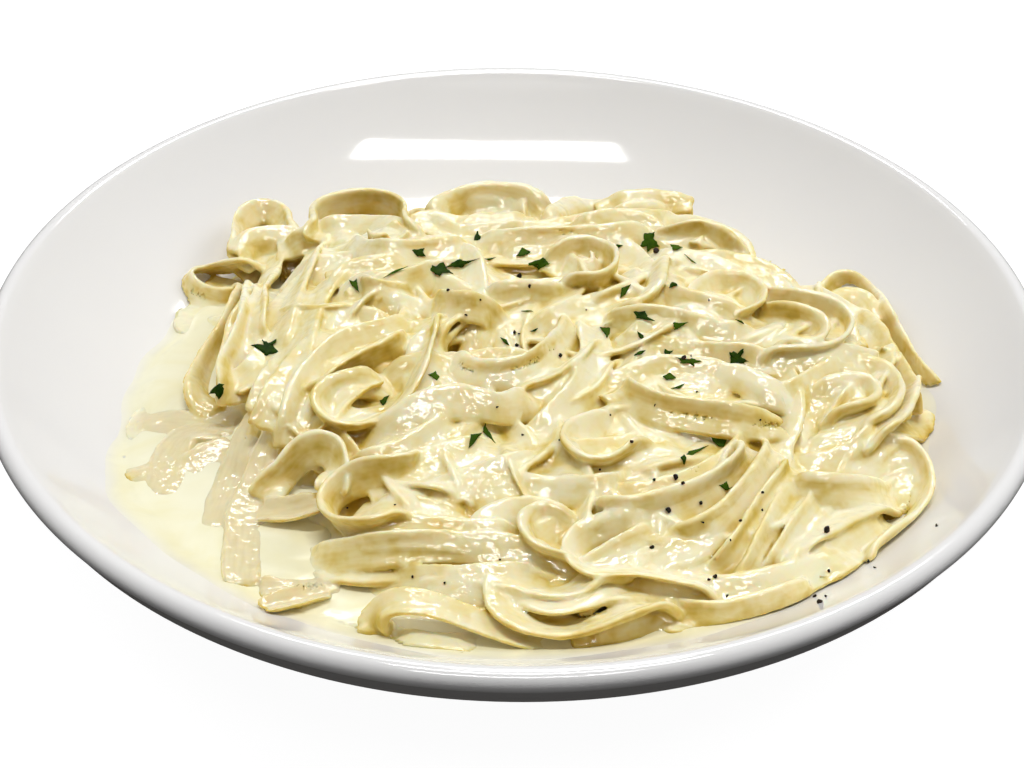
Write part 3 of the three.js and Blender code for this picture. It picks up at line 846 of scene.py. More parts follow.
class Volume:
    """Distances to the strips on a grid of points over the heap."""

    def __init__(self, low, high):
        self.low = np.array(low, dtype=float)
        self.shape = tuple(int(math.ceil((h - l) / VOXEL)) + 1 for l, h in zip(low, high))
        start = {"distance": SKIN_REACH, "across": 0, "along": 0, "egg": 0.4, "pale": 0}
        self.values = {k: np.full(self.shape, v, dtype=np.float32) for k, v in start.items()}
        self.lines = [l + VOXEL * np.arange(n) for l, n in zip(low, self.shape)]

    def add_strip(self, path, z, number, egg, pale, rng):
        """Stamps one strip in as a row of overlapping blocks with rounded edges."""
        length = len(z) - 1
        count = int(length / BLOCK_STEP) + 2
        t = np.linspace(0, length, count)
        x, y, z, aim, roll = at_steps(t, path, z)
        spine = np.stack([x, y, z], axis=1)
        run = np.gradient(spine, axis=0)
        run /= np.linalg.norm(run, axis=1)[:, None]
        side = np.stack([-np.sin(aim), np.cos(aim), np.zeros(count)], axis=1)
        up = np.cross(run, side)
        up /= np.linalg.norm(up, axis=1)[:, None]
        across = np.cos(roll)[:, None] * side + np.sin(roll)[:, None] * up
        outward = np.cos(roll)[:, None] * up - np.sin(roll)[:, None] * side
        half_width = NOODLE_WIDTH / 2 * (1 + 0.05 * uneven_line(count, 7.0, rng))
        half_thick = NOODLE_THICKNESS / 2 * (1 + 0.07 * uneven_line(count, 5.0, rng))
        cup = 0.030 * uneven_line(count, 9.0, rng)
        for i in range(count):
            half = np.array([BLOCK_HALF, half_width[i], half_thick[i]])
            axes = np.stack([run[i], across[i], outward[i]])
            extent = np.abs(axes.T) @ half + SKIN_REACH
            first = np.maximum(np.ceil((spine[i] - extent - self.low) / VOXEL).astype(int), 0)
            last = np.floor((spine[i] + extent - self.low) / VOXEL).astype(int) + 1
            last = np.minimum(last, self.shape)
            if (last <= first).any():
                continue
            block = tuple(slice(f, l) for f, l in zip(first, last))
            gx = (self.lines[0][block[0]] - spine[i, 0])[:, None, None]
            gy = (self.lines[1][block[1]] - spine[i, 1])[None, :, None]
            gz = (self.lines[2][block[2]] - spine[i, 2])[None, None, :]
            u, a, b = (gx * axis[0] + gy * axis[1] + gz * axis[2] for axis in axes)
            b = b - cup[i] * a * a
            inner = half - STRIP_ROUND
            qu, qa, qb = np.abs(u) - inner[0], np.abs(a) - inner[1], np.abs(b) - inner[2]
            far = np.sqrt(sum(np.maximum(q, 0) ** 2 for q in (qu, qa, qb)))
            d = far + np.minimum(np.maximum(np.maximum(qu, qa), qb), 0) - STRIP_ROUND
            nearer = d < self.values["distance"][block]
            here = {"distance": d, "across": a / half_width[i], "egg": egg, "pale": pale,
                    "along": t[i] + u + number * STRIP_SHIFT}
            for label, value in here.items():
                grid = self.values[label]
                grid[block] = np.where(nearer, value, grid[block])

    def between(self, corners, values):
        """Values at any points, from the grid points round each."""
        return between(values, *((corners - self.low) / VOXEL).T)

    def nearest(self, corners, values):
        """Values at any points, each from the nearest grid point."""
        place = np.rint((corners - self.low) / VOXEL).astype(int)
        place = np.clip(place, 0, np.array(self.shape) - 1)
        return values[tuple(place.T)]


def soft_least(first, second, ease):
    """The lesser of two distances, with a fillet where they meet."""
    share = np.clip(0.5 + 0.5 * (second - first) / ease, 0, 1)
    return second * (1 - share) + first * share - ease * share * (1 - share)


def skin_of(values, low):
    """Closed skin round the points where the values are below zero."""
    solid = values < 0
    size = tuple(n - 1 for n in values.shape)
    total = np.zeros((*size, 3), dtype=np.float32)
    hits = np.zeros(size, dtype=np.int8)
    corner = lambda grid, at: grid[tuple(slice(a, n + a) for a, n in zip(at, size))]
    for axis, p, q in itertools.product(range(3), (0, 1), (0, 1)):
        start, end = ([p, q][:axis] + [end] + [p, q][axis:] for end in (0, 1))
        v0, v1 = corner(values, start), corner(values, end)
        crossed = corner(solid, start) != corner(solid, end)
        share = np.where(crossed, v0 / np.where(crossed, v0 - v1, 1), 0)
        hits += crossed
        for k in range(3):
            total[..., k] += share if k == axis else crossed * start[k]
    used = hits > 0
    number = np.full(used.shape, -1, dtype=np.int64)
    number[used] = np.arange(used.sum())
    corners = low + VOXEL * (np.argwhere(used) + total[used] / hits[used][:, None])
    quads = []
    for axis in range(3):
        cut = [slice(1, -1)] * 3
        cut[axis] = slice(0, -1)
        first = solid[tuple(cut)]
        cut[axis] = slice(1, None)
        turns = first != solid[tuple(cut)]
        ring = []
        for step in ((1, 1), (0, 1), (0, 0), (1, 0)):
            around = np.argwhere(turns)
            around[:, (axis + 1) % 3] += step[0]
            around[:, (axis + 2) % 3] += step[1]
            ring.append(number[tuple(around.T)])
        ring = np.stack(ring, axis=1)
        outward = ~first[turns]
        ring[outward] = ring[outward][:, ::-1]
        quads.append(ring)
    return corners, np.vstack(quads)


HEAP_BED = 3.0  # how far below the cream's level the heap's piece reaches
HEAP_MARGIN = 3.0  # how far outside the strips it ends
HEAP_FACES = 190000
FILLET = 1.3  # rounding where the cream meets a strip


def thinned(corners, faces, limit):
    """The same skin with no more than that many triangles."""
    mesh = bpy.data.meshes.new("heap_skin")
    mesh.from_pydata(corners.tolist(), [], faces.tolist())
    helper = bpy.data.objects.new("heap_skin", mesh)
    bpy.context.collection.objects.link(helper)
    if 2 * len(faces) > limit:
        thin = helper.modifiers.new("fewer faces", "DECIMATE")
        thin.ratio = limit / (2 * len(faces))
    shown = helper.evaluated_get(bpy.context.evaluated_depsgraph_get())
    reduced = shown.to_mesh()
    corners = np.empty(len(reduced.vertices) * 3, dtype=np.float32)
    reduced.vertices.foreach_get("co", corners)
    faces = [tuple(p.vertices) for p in reduced.polygons]
    shown.to_mesh_clear()
    bpy.data.objects.remove(helper)
    bpy.data.meshes.remove(mesh)
    return corners.reshape(-1, 3).astype(float), faces


def make_noodles(strips, field, fill, material):
    """The noodles and the cream that clings to them, as one skin."""
    rng = np.random.default_rng(21)
    edge_x = np.concatenate([p[0] for p, _ in strips])
    edge_y = np.concatenate([p[1] for p, _ in strips])
    low = (edge_x.min() - 8, edge_y.min() - 8, 14.0)
    high = (edge_x.max() + 8, edge_y.max() + 8, field.z.max() + 4)
    volume = Volume(low, high)
    for number, (path, z) in enumerate(strips):
        # Each strip is a little more or less yellow; those in the cream are pale.
        shown = number - (len(strips) - 1 - len(SEEN))
        pale = 0.8 if 0 <= shown < POOL_STRIPS else rng.uniform(0, 0.5) ** 2
        volume.add_strip(path, z, number, rng.uniform(0, 1), pale, rng)
    x, y = np.meshgrid(volume.lines[0], volume.lines[1], indexing="ij")
    z = volume.lines[2][None, None, :]
    level = field.between(x, y, fill)
    slope = np.hypot(*np.gradient(level, VOXEL))
    slow, fine = uneven_field(x.shape, 5 / VOXEL, 31), uneven_field(x.shape, 2 / VOXEL, 32)
    film = np.clip(0.16 + 0.12 * slow + 0.10 * fine, 0.03, 0.7)
    # Cream gathers in uneven ridges along each strip.
    grid = volume.values
    ridges = streaks(grid["along"] * 0.06, grid["across"] * 1.9).astype(np.float32)
    bare = smooth(grid["distance"] - 0.20 * ridges, 0.32 / VOXEL, 2.5)
    strips_skin = bare - film[:, :, None].astype(np.float32)
    cream_skin = (z - level[:, :, None]) / np.sqrt(1 + slope * slope)[:, :, None]
    skin = soft_least(strips_skin, cream_skin.astype(np.float32), FILLET)
    # The piece ends a little outside the strips and a little below the pool.
    near = field.between(x, y, footprint(field, strips))
    bed = np.maximum(well_height(np.hypot(x, y)) + 0.5, sauce_level(x, y) - HEAP_BED)
    skin = np.maximum(skin, (near - HEAP_MARGIN)[:, :, None])
    skin = np.maximum(skin, bed[:, :, None] - z)
    for side in (0, -1):
        skin[side], skin[:, side], skin[:, :, side] = 1, 1, 1
    corners, faces = skin_of(skin.astype(np.float32), volume.low)
    # How shut in and how upward facing each place on the skin is, for the painted shade in creases
    # and on steep sides.
    soft = smooth(skin.astype(np.float32), 1.0, 2.5)
    slopes = np.gradient(soft)
    facing = slopes[2] / np.maximum(np.sqrt(sum(g * g for g in slopes)), 1e-6)
    shut_in = np.clip(0.5 - skin / 1.2, 0, 1).astype(np.float32)
    shut_in = smooth(shut_in, 2.4 / VOXEL, 2.5)
    corners, faces = thinned(corners, faces, HEAP_FACES)
    x, y, z = corners.T
    wide = smooth(field.z, 4.5 / field.cell)
    along, across = (volume.nearest(corners, grid[label]) for label in ("along", "across"))
    values = {
        "along": along,
        "across": across,
        "drawn": streaks(along * 0.12, across * 3.0),
        "film": volume.between(corners, grid["distance"]),
        "egg": volume.between(corners, grid["egg"]),
        "pale": volume.between(corners, grid["pale"]),
        # How far under the heap's smoothed top each corner lies, for the painted shade deep in the
        # heap.
        "hollow": np.clip((field.between(x, y, wide) - z + 0.3) / 6.0, 0, 1),
        "cavity_shade": volume.between(corners, shut_in),
        "facing": volume.between(corners, facing),
    }
    return make_piece("fettuccine", corners, faces, material, "noodles", values)


FOOTPRINT_BLUR = 2.5


def footprint(field, strips):
    """Distance outside the strips' outline on the plate, up to some millimetres."""
    covered = np.zeros_like(field.z)
    for path, _ in strips:
        for u in np.linspace(-1, 1, 15):
            covered[field.index(*aside(*path[:3], u * NOODLE_WIDTH / 2))] = 1.0
    covered = np.maximum(covered, heap_share(field.x, field.y) < 0.9)
    soft = smooth(covered, FOOTPRINT_BLUR / field.cell)
    return (0.5 - soft) * FOOTPRINT_BLUR * 2.5066  # the root of two pi


def make_cream(field, top, inset, material):
    """The pool as one closed skin: a free top, and a bed a hair over the plate."""
    inside = inset > 0
    cells = inside[:-1, :-1] | inside[1:, :-1] | inside[:-1, 1:] | inside[1:, 1:]
    used = np.zeros(field.x.shape, dtype=bool)
    for di in (0, 1):
        for dj in (0, 1):
            used[di:di + cells.shape[0], dj:dj + cells.shape[1]] |= cells
    number = np.full(field.x.shape, -1)
    number[used] = np.arange(used.sum())
    x, y, z = field.x[used].copy(), field.y[used].copy(), top[used].copy()
    # Corners outside the cream's outline are drawn in to it.
    outer = ~inside[used]
    angle = np.arctan2(y[outer], x[outer])
    reach = sauce_reach(angle)
    x[outer], y[outer] = reach * np.cos(angle), reach * np.sin(angle)
    z[outer] = well_height(reach) - RIM_DIP
    i, j = np.nonzero(cells)
    around = (i, j), (i + 1, j), (i + 1, j + 1), (i, j + 1)
    quads = np.stack([number[spot] for spot in around], axis=1)
    # The rim of the top, in order, carries on down as rings along the plate.
    edges = {}
    for quad in quads.tolist():
        for k in range(4):
            a, b = quad[k], quad[(k + 1) % 4]
            if (b, a) in edges:
                del edges[(b, a)]
            else:
                edges[(a, b)] = True
    after = dict(edges.keys())
    loop = [next(iter(after))]
    while after[loop[-1]] != loop[0]:
        loop.append(after[loop[-1]])
    faces = quads.tolist()
    corners = [np.stack([x, y, z], axis=1)]
    total = len(x)
    rim_x, rim_y = x[loop], y[loop]
    for share in (0.93, 0.8, 0.6, 0.35):
        rx, ry = rim_x * share, rim_y * share
        corners.append(np.stack([rx, ry, well_height(np.hypot(rx, ry)) + BED_GAP], axis=1))
        ring = list(range(total, total + len(loop)))
        total += len(loop)
        faces += band(ring, loop)
        loop = ring
    corners.append(np.array([[0, 0, WELL_FLOOR + BED_GAP]]))
    faces += fan(loop[::-1], total)
    corners = np.vstack(corners)
    rim = np.concatenate([inset[used], np.zeros(len(corners) - len(x))])
    values = {"rim": rim}
    return make_piece("cream_sauce", corners, faces, material, "sauce", values)


PLATE_SIDES = 256


def make_plate(material):
    """The plate, turned on a lathe from one smooth profile."""
    profile = [(0.0, FOOT_HEIGHT)]
    inner, outer = FOOT_RADIUS - FOOT_WIDTH / 2, FOOT_RADIUS + FOOT_WIDTH / 2
    profile += [(r, FOOT_HEIGHT) for r in (20, 40, inner - 2.4)]
    for a in np.radians(np.linspace(90, 0, 5)):
        profile.append((inner - 2.2 + math.cos(a), FOOT_HEIGHT - 1 + math.sin(a)))
    profile += [(inner - 0.9, 0.6), (inner - 0.3, 0.12), (inner + 0.6, 0.0)]
    profile += [(outer - 1.2, 0.0), (outer - 0.4, 0.15), (outer + 0.2, 0.7), (outer + 1.0, 2.0)]
    for r in np.linspace(66, 121.5, 26):
        slope = WELL_POWER * (WELL_EDGE[1] - WELL_FLOOR) / WELL_EDGE[0]
        slope = slope * (r / WELL_EDGE[0]) ** (WELL_POWER - 1)
        wall = wall_thickness(r) / math.hypot(slope, 1)
        profile.append((r + wall * slope, well_height(r) - wall))
    for a in np.radians(np.linspace(-50, 128, 15)):
        r, z = LIP_RADIUS * math.cos(a), LIP_RADIUS * math.sin(a)
        profile.append((LIP_CENTRE[0] + r, LIP_CENTRE[1] + z))
    for r in list(np.linspace(WELL_EDGE[0] - 1.5, 20, 44)) + [10.0]:
        profile.append((r, float(well_height(r))))
    profile.append((0.0, WELL_FLOOR))
    turn = np.arange(PLATE_SIDES) * 2 * math.pi / PLATE_SIDES
    rings = np.array(profile[1:-1])
    corners = np.stack([
        rings[:, None, 0] * np.cos(turn)[None, :],
        rings[:, None, 0] * np.sin(turn)[None, :],
        np.repeat(rings[:, 1][:, None], PLATE_SIDES, axis=1),
    ], axis=2).reshape(-1, 3)
    rows = np.arange(len(corners)).reshape(-1, PLATE_SIDES).tolist()
    faces = [face for lower, upper in zip(rows, rows[1:]) for face in band(lower, upper)]
    faces += fan(rows[0][::-1], len(corners)) + fan(rows[-1], len(corners) + 1)
    corners = np.vstack([corners, [[0, 0, FOOT_HEIGHT], [0, 0, WELL_FLOOR]]])
    return make_piece("plate_body", corners, faces, material, "plate")


# --------------------------------------------------------- parsley and pepper

# Chopped leaves: view point of the middle, half of the long way from there, the width
# in millimetres and the number of lobes.
LEAVES = [
    (268, 348, 9, -6, 5.0, 5), (217, 391, 3, 6, 2.6, 3), (383, 403, 2, -6, 2.4, 2),
    (434, 376, 4, -4, 2.6, 3), (420, 253, 5, 6, 3.0, 3), (438, 271, 13, 2, 3.6, 5),
    (459, 264, 14, -3, 1.8, 4), (355, 285, 2, 6, 2.2, 3), (395, 272, 11, -5, 0.9, 2),
    (477, 238, 6, 1, 2.6, 3), (490, 260, 5, -1, 0.8, 2), (523, 253, 6, 2, 2.4, 3),
    (540, 264, 12, 0, 2.6, 4), (619, 247, 3, 0, 1.6, 2), (648, 242, 5, -9, 4.2, 5),
    (675, 248, 7, 0, 2.2, 3), (690, 260, 6, 5, 0.6, 2), (623, 292, 6, -6, 2.4, 2),
    (674, 285, 5, 1, 1.6, 3), (642, 317, 10, 4, 1.7, 4), (606, 332, 1, 7, 1.8, 3),
    (677, 326, 8, -2, 2.0, 3), (641, 337, 1, 6, 1.6, 2), (640, 353, 5, -3, 1.5, 2),
    (667, 353, 7, 0, 1.9, 3), (690, 362, 14, 1, 1.6, 5), (668, 377, 6, 0, 2.9, 2),
    (679, 388, 7, -3, 0.9, 2), (738, 360, 3, 10, 3.8, 5), (475, 437, 6, -8, 3.0, 2),
    (487, 435, 3, 9, 3.0, 2), (694, 453, 11, -6, 1.2, 3), (683, 459, 2, 5, 1.6, 2),
    (721, 443, 6, -4, 2.4, 3), (725, 487, 3, 3, 2.0, 3), (506, 343, 3, 5, 1.4, 2),
    (527, 312, 6, 0, 0.8, 2), (535, 331, 4, -2, 0.9, 2), (740, 322, 4, 2, 1.2, 2),
]

# Grains of cracked pepper: the view point and the size of each.
GRAINS = [
    (519, 277, 1.9), (530, 286, 1.2), (448, 291, 1.0), (466, 315, 0.8), (515, 333, 1.2),
    (520, 334, 0.8), (517, 346, 1.3), (559, 356, 1.3), (497, 407, 0.8), (523, 435, 0.7),
    (631, 442, 1.0), (654, 480, 1.0), (675, 478, 1.7), (683, 484, 1.0), (668, 510, 1.4),
    (700, 503, 1.1), (702, 522, 0.8), (652, 548, 1.5), (715, 577, 1.3), (709, 580, 0.8),
    (727, 596, 0.9), (827, 532, 2.0), (829, 571, 1.0), (868, 560, 0.9), (875, 568, 0.8),
    (815, 597, 1.0), (826, 597, 0.8), (820, 603, 1.2), (937, 526, 0.9), (762, 493, 0.8),
    (762, 510, 0.7), (741, 521, 0.8), (413, 577, 0.8), (445, 583, 0.7), (347, 508, 0.7),
    (657, 252, 1.7), (684, 358, 1.5), (691, 356, 0.8), (600, 470, 0.6), (560, 440, 0.6),
    (730, 540, 0.7), (655, 405, 0.7), (610, 415, 0.6), (697, 392, 0.7), (480, 300, 0.6),
    (586, 310, 0.6), (709, 300, 0.7), (760, 420, 0.6), (500, 560, 0.6), (395, 505, 0.6),
]


def shown_ground(pieces):
    """The surface that the pieces make together, for things to be laid on."""
    corners, faces = [], []
    for piece in pieces:
        first = len(corners)
        corners += [v.co / MM for v in piece.data.vertices]
        faces += [[first + k for k in p.vertices] for p in piece.data.polygons]
    return BVHTree.FromPolygons(corners, faces)


def meet(ground, px, py):
    """Point and direction of the surface that shows at a view point."""
    spot, normal, _, _ = ground.ray_cast(CAMERA_SPOT / MM, sight_line(px, py))
    return spot, normal


LEAF_TOP, LEAF_UNDER = 0.48, 0.20  # how high the two sides lie over what is below
LEAF_EDGE = (-0.08, 0.06)  # how much lower and higher their edges are
LEAF_RINGS = (1.0, 0.7, 0.35)  # shares of the outline, from the edge inward
LEAF_LENGTH = (2.4, 12.0)  # the least and the most
LEAF_LENGTH_SHARE, LEAF_WIDTH_SHARE = 0.55, 0.72  # of an outline that is about 1 in radius
LEAF_DRAPE = 0.45  # how far it follows what it lies on


def leaf_frame(ground, px, py, dx, dy):
    """Middle, direction, long way, short way and length of a leaf that lies there."""
    middle, normal = meet(ground, px, py)
    if middle is None:
        return None
    normal = (normal + Vector((0, -0.2, 0.6))).normalized()
    ends = []
    for k in (-1, 1):
        aim = sight_line(px + k * dx, py + k * dy)
        reach = (middle - CAMERA_SPOT / MM).dot(normal) / aim.dot(normal)
        ends.append(CAMERA_SPOT / MM + aim * reach)
    long = ends[1] - ends[0]
    long = long - normal * long.dot(normal)
    length = min(max(long.length, LEAF_LENGTH[0]), LEAF_LENGTH[1])
    long.normalize()
    return middle, normal, long, normal.cross(long), length


def leaf_outline(lobes, rng):
    """Straight cuts from the tip of each lobe to the notch beside it."""
    count = 2 * lobes
    turn = (np.arange(count) + rng.uniform(-0.4, 0.4, count)) * 2 * math.pi / count
    tips, notches = rng.uniform(0.75, 1.25, count), rng.uniform(0.38, 0.72, count)
    reach = np.where(np.arange(count) % 2 == 0, tips, notches)
    star = np.stack([reach * np.cos(turn), reach * np.sin(turn)], axis=1)
    share = np.arange(4)[None, :, None] / 4
    after = np.roll(star, -1, 0)[:, None, :]
    star = (star[:, None, :] * (1 - share) + after * share).reshape(-1, 2)
    return star + rng.normal(size=star.shape) * 0.035


def scatter_leaves(ground, material):
    """Chopped leaves: thin cut shapes that bend with what they lie on."""
    rng = np.random.default_rng(5)
    corners, faces, shades = [], [], []
    for px, py, dx, dy, width, lobes in LEAVES:
        laid = leaf_frame(ground, px, py, dx, dy)
        if laid is None:
            continue
        middle, normal, long, short, length = laid
        star = leaf_outline(lobes, rng)
        u, v = star[:, 0] * length * LEAF_LENGTH_SHARE, star[:, 1] * width * LEAF_WIDTH_SHARE
        curl = rng.uniform(-0.10, 0.16)
        shade = rng.uniform(0, 1)
        outlines = []
        for lift, edge in zip((LEAF_TOP, LEAF_UNDER), LEAF_EDGE):
            first = len(corners)
            for ring in LEAF_RINGS:
                for a, b in zip(u * ring, v * ring):
                    flat = middle + long * float(a) + short * float(b)
                    hit = ground.ray_cast(flat + normal * 4, -normal, 8.0)[0]
                    rise = (hit - flat).dot(normal) * LEAF_DRAPE if hit else 0.0
                    rise += curl * (a * a + b * b) / max(length, 2) + lift
                    rise += edge if ring == 1.0 else 0.0
                    corners.append(flat + normal * float(rise))
            corners.append(middle + normal * lift)
            rows = np.arange(first, len(corners) - 1).reshape(-1, len(star)).tolist()
            side = [face for outer, inner in zip(rows, rows[1:]) for face in band(outer, inner)]
            side += fan(rows[-1], len(corners) - 1)
            faces += side if not outlines else [face[::-1] for face in side]
            outlines.append(rows[0])
        faces += band(outlines[1], outlines[0])
        shades += [shade] * (len(corners) - len(shades))
    return make_piece("parsley", corners, faces, material, None, {"shade": shades})


GRAIN_RINGS, GRAIN_SIDES, GRAIN_FLATS = 5, 9, 7
GRAIN_LIFT = 0.26  # how high its middle lies, as a share of its size


def unit_ball():
    """Corners of a ball of few rings, from its top to its foot."""
    points = [Vector((0, 0, 1))]
    for r in range(1, GRAIN_RINGS):
        tilt = math.pi * r / GRAIN_RINGS
        for k in range(GRAIN_SIDES):
            turn = 2 * math.pi * (k + 0.5 * (r % 2)) / GRAIN_SIDES
            out = math.sin(tilt)
            points.append(Vector((out * math.cos(turn), out * math.sin(turn), math.cos(tilt))))
    return points + [Vector((0, 0, -1))]


def scatter_grains(ground, material):
    """Cracked grains: balls with uneven flats cut off them."""
    rng = np.random.default_rng(6)
    corners, faces, shades = [], [], []
    ball = unit_ball()
    for px, py, size in GRAINS:
        spot, normal = meet(ground, px, py)
        if spot is None:
            continue
        flats = [(Vector(rng.normal(size=3)).normalized(), rng.uniform(0.3, 0.85))
                 for _ in range(GRAIN_FLATS)]
        stretch = Vector(rng.uniform(0.75, 1.2, size=3))
        first = len(corners)
        shades += [rng.uniform(0, 1)] * len(ball)
        for point in ball:
            for flat, depth in flats:
                point = point - flat * max(point.dot(flat) - depth, 0)
            point = Vector(a * b for a, b in zip(point, stretch)) * (size / 2)
            corners.append(spot + normal * (size * GRAIN_LIFT) + point)
        rows = np.arange(first + 1, len(corners) - 1).reshape(-1, GRAIN_SIDES).tolist()
        faces += fan(rows[0], first) + fan(rows[-1][::-1], len(corners) - 1)
        faces += [face for upper, lower in zip(rows, rows[1:]) for face in band(lower, upper)]
    return make_piece("black_pepper", corners, faces, material, None, {"shade": shades})


# ------------------------------------------------------------------ materials


def feed(tree, socket, value):
    """Links a value that comes from another node, and sets one that is a constant."""
    if isinstance(value, bpy.types.NodeSocket):
        tree.links.new(value, socket)
    else:
        socket.default_value = value


def feed_all(tree, node, inputs):
    """Feeds several inputs of a node."""
    for socket, value in inputs.items():
        feed(tree, node.inputs[socket], value)
    return node


def add_node(tree, kind, inputs=None, **settings):
    """A node with its inputs and its settings."""
    node = tree.nodes.new(kind)
    for label, value in settings.items():
        setattr(node, label, value)
    return feed_all(tree, node, inputs or {})


def math_node(tree, operation, *values):
    """One step of arithmetic."""
    return add_node(tree, "ShaderNodeMath", dict(enumerate(values)), operation=operation).outputs[0]


def mix_colours(tree, share, first, second):
    """The first colour at a share of 0, and the second at 1."""
    inputs = {0: share, 6: first, 7: second}
    return add_node(tree, "ShaderNodeMix", inputs, data_type="RGBA").outputs[2]


def remap(tree, value, low, high, start=0.0, end=1.0):
    """Goes softly from start to end while the value goes from low to high."""
    inputs = {"Value": value, "From Min": low, "From Max": high, "To Min": start, "To Max": end}
    return add_node(tree, "ShaderNodeMapRange", inputs, interpolation_type="SMOOTHSTEP").outputs[0]


def value_of(tree, label):
    """One of the values that a mesh carries at its corners."""
    return add_node(tree, "ShaderNodeAttribute", attribute_name=label).outputs["Fac"]


def place_of(tree):
    """The place on the piece, in metres."""
    return add_node(tree, "ShaderNodeTexCoord").outputs["Object"]


def noise(tree, place, scale, detail, distortion=0.0):
    """Soft random patches, about that many to a metre."""
    inputs = {"Vector": place, "Scale": scale, "Detail": detail, "Distortion": distortion}
    return add_node(tree, "ShaderNodeTexNoise", inputs).outputs[0]


def bump(tree, strength, distance, height):
    """Fine relief for a shading normal."""
    inputs = {"Strength": strength, "Distance": distance, "Height": height}
    return add_node(tree, "ShaderNodeBump", inputs).outputs[0]


def new_material(name):
    """An empty material with one shader."""
    material = bpy.data.materials.new(name)
    material.use_nodes = True
    tree = material.node_tree
    tree.nodes.clear()
    output = tree.nodes.new("ShaderNodeOutputMaterial")
    shader = tree.nodes.new("ShaderNodeBsdfPrincipled")
    tree.links.new(shader.outputs[0], output.inputs["Surface"])
    return material, tree, shader


def new_group(name, inputs, outputs):
    """An empty node group with its sockets."""
    tree = bpy.data.node_groups.new(name, "ShaderNodeTree")
    for label, kind, value in inputs:
        socket = tree.interface.new_socket(label, in_out="INPUT", socket_type=kind)
        if value is not None:
            socket.default_value = value
    for label, kind in outputs:
        tree.interface.new_socket(label, in_out="OUTPUT", socket_type=kind)
    return tree, tree.nodes.new("NodeGroupInput"), tree.nodes.new("NodeGroupOutput")


def wet_film_group():
    """Uneven wet film: a patchy mask of thicker film, its relief and how it shines."""
    kind = "NodeSocketFloat"
    tree, start, end = new_group(
        "wet film",
        [("Patch Size", kind, 8.0), ("Wrinkle Size", kind, 2.5), ("Amount", kind, 0.5)],
        [("Mask", kind), ("Height", kind), ("Gloss", kind)],
    )
    place = place_of(tree)
    patches, wrinkles = (
        noise(tree, place, math_node(tree, "DIVIDE", 1000.0, start.outputs[size]), detail)
        for size, detail in (("Patch Size", 3.0), ("Wrinkle Size", 0.8)))
    mixed = math_node(tree, "MULTIPLY_ADD", wrinkles, 0.35, patches)
    centre = math_node(tree, "SUBTRACT", 1.15, start.outputs["Amount"])
    low = math_node(tree, "SUBTRACT", centre, 0.16)
    high = math_node(tree, "ADD", centre, 0.16)
    limits = {"Value": mixed, "From Min": low, "From Max": high}
    mask = add_node(tree, "ShaderNodeMapRange", limits).outputs[0]
    feed_all(tree, end, {
        "Mask": mask,
        "Height": math_node(tree, "MULTIPLY_ADD", mask, 0.3, wrinkles),
        "Gloss": math_node(tree, "MULTIPLY_ADD", mask, 0.3, 0.7),
    })
    return tree


CREAM = (0.88, 0.84, 0.56, 1)
CREAM_WHITE = (0.91, 0.885, 0.66, 1)

# From creamy to bare egg dough, then on to the darker golds of the painted shade in creases, in
# hollows and on steep sides.
DOUGH_AND_PAINTED_SHADE = (
    (0.0, (0.87, 0.81, 0.55, 1)),
    (0.2, (0.84, 0.75, 0.42, 1)),
    (0.4, (0.79, 0.67, 0.30, 1)),
    (0.6, (0.72, 0.56, 0.17, 1)),
    (0.8, (0.62, 0.44, 0.08, 1)),
    (1.0, (0.48, 0.32, 0.045, 1)),
)
PALE_DOUGH = (0.77, 0.68, 0.42, 1)
PALE_STREAK = (0.66, 0.55, 0.30, 1)


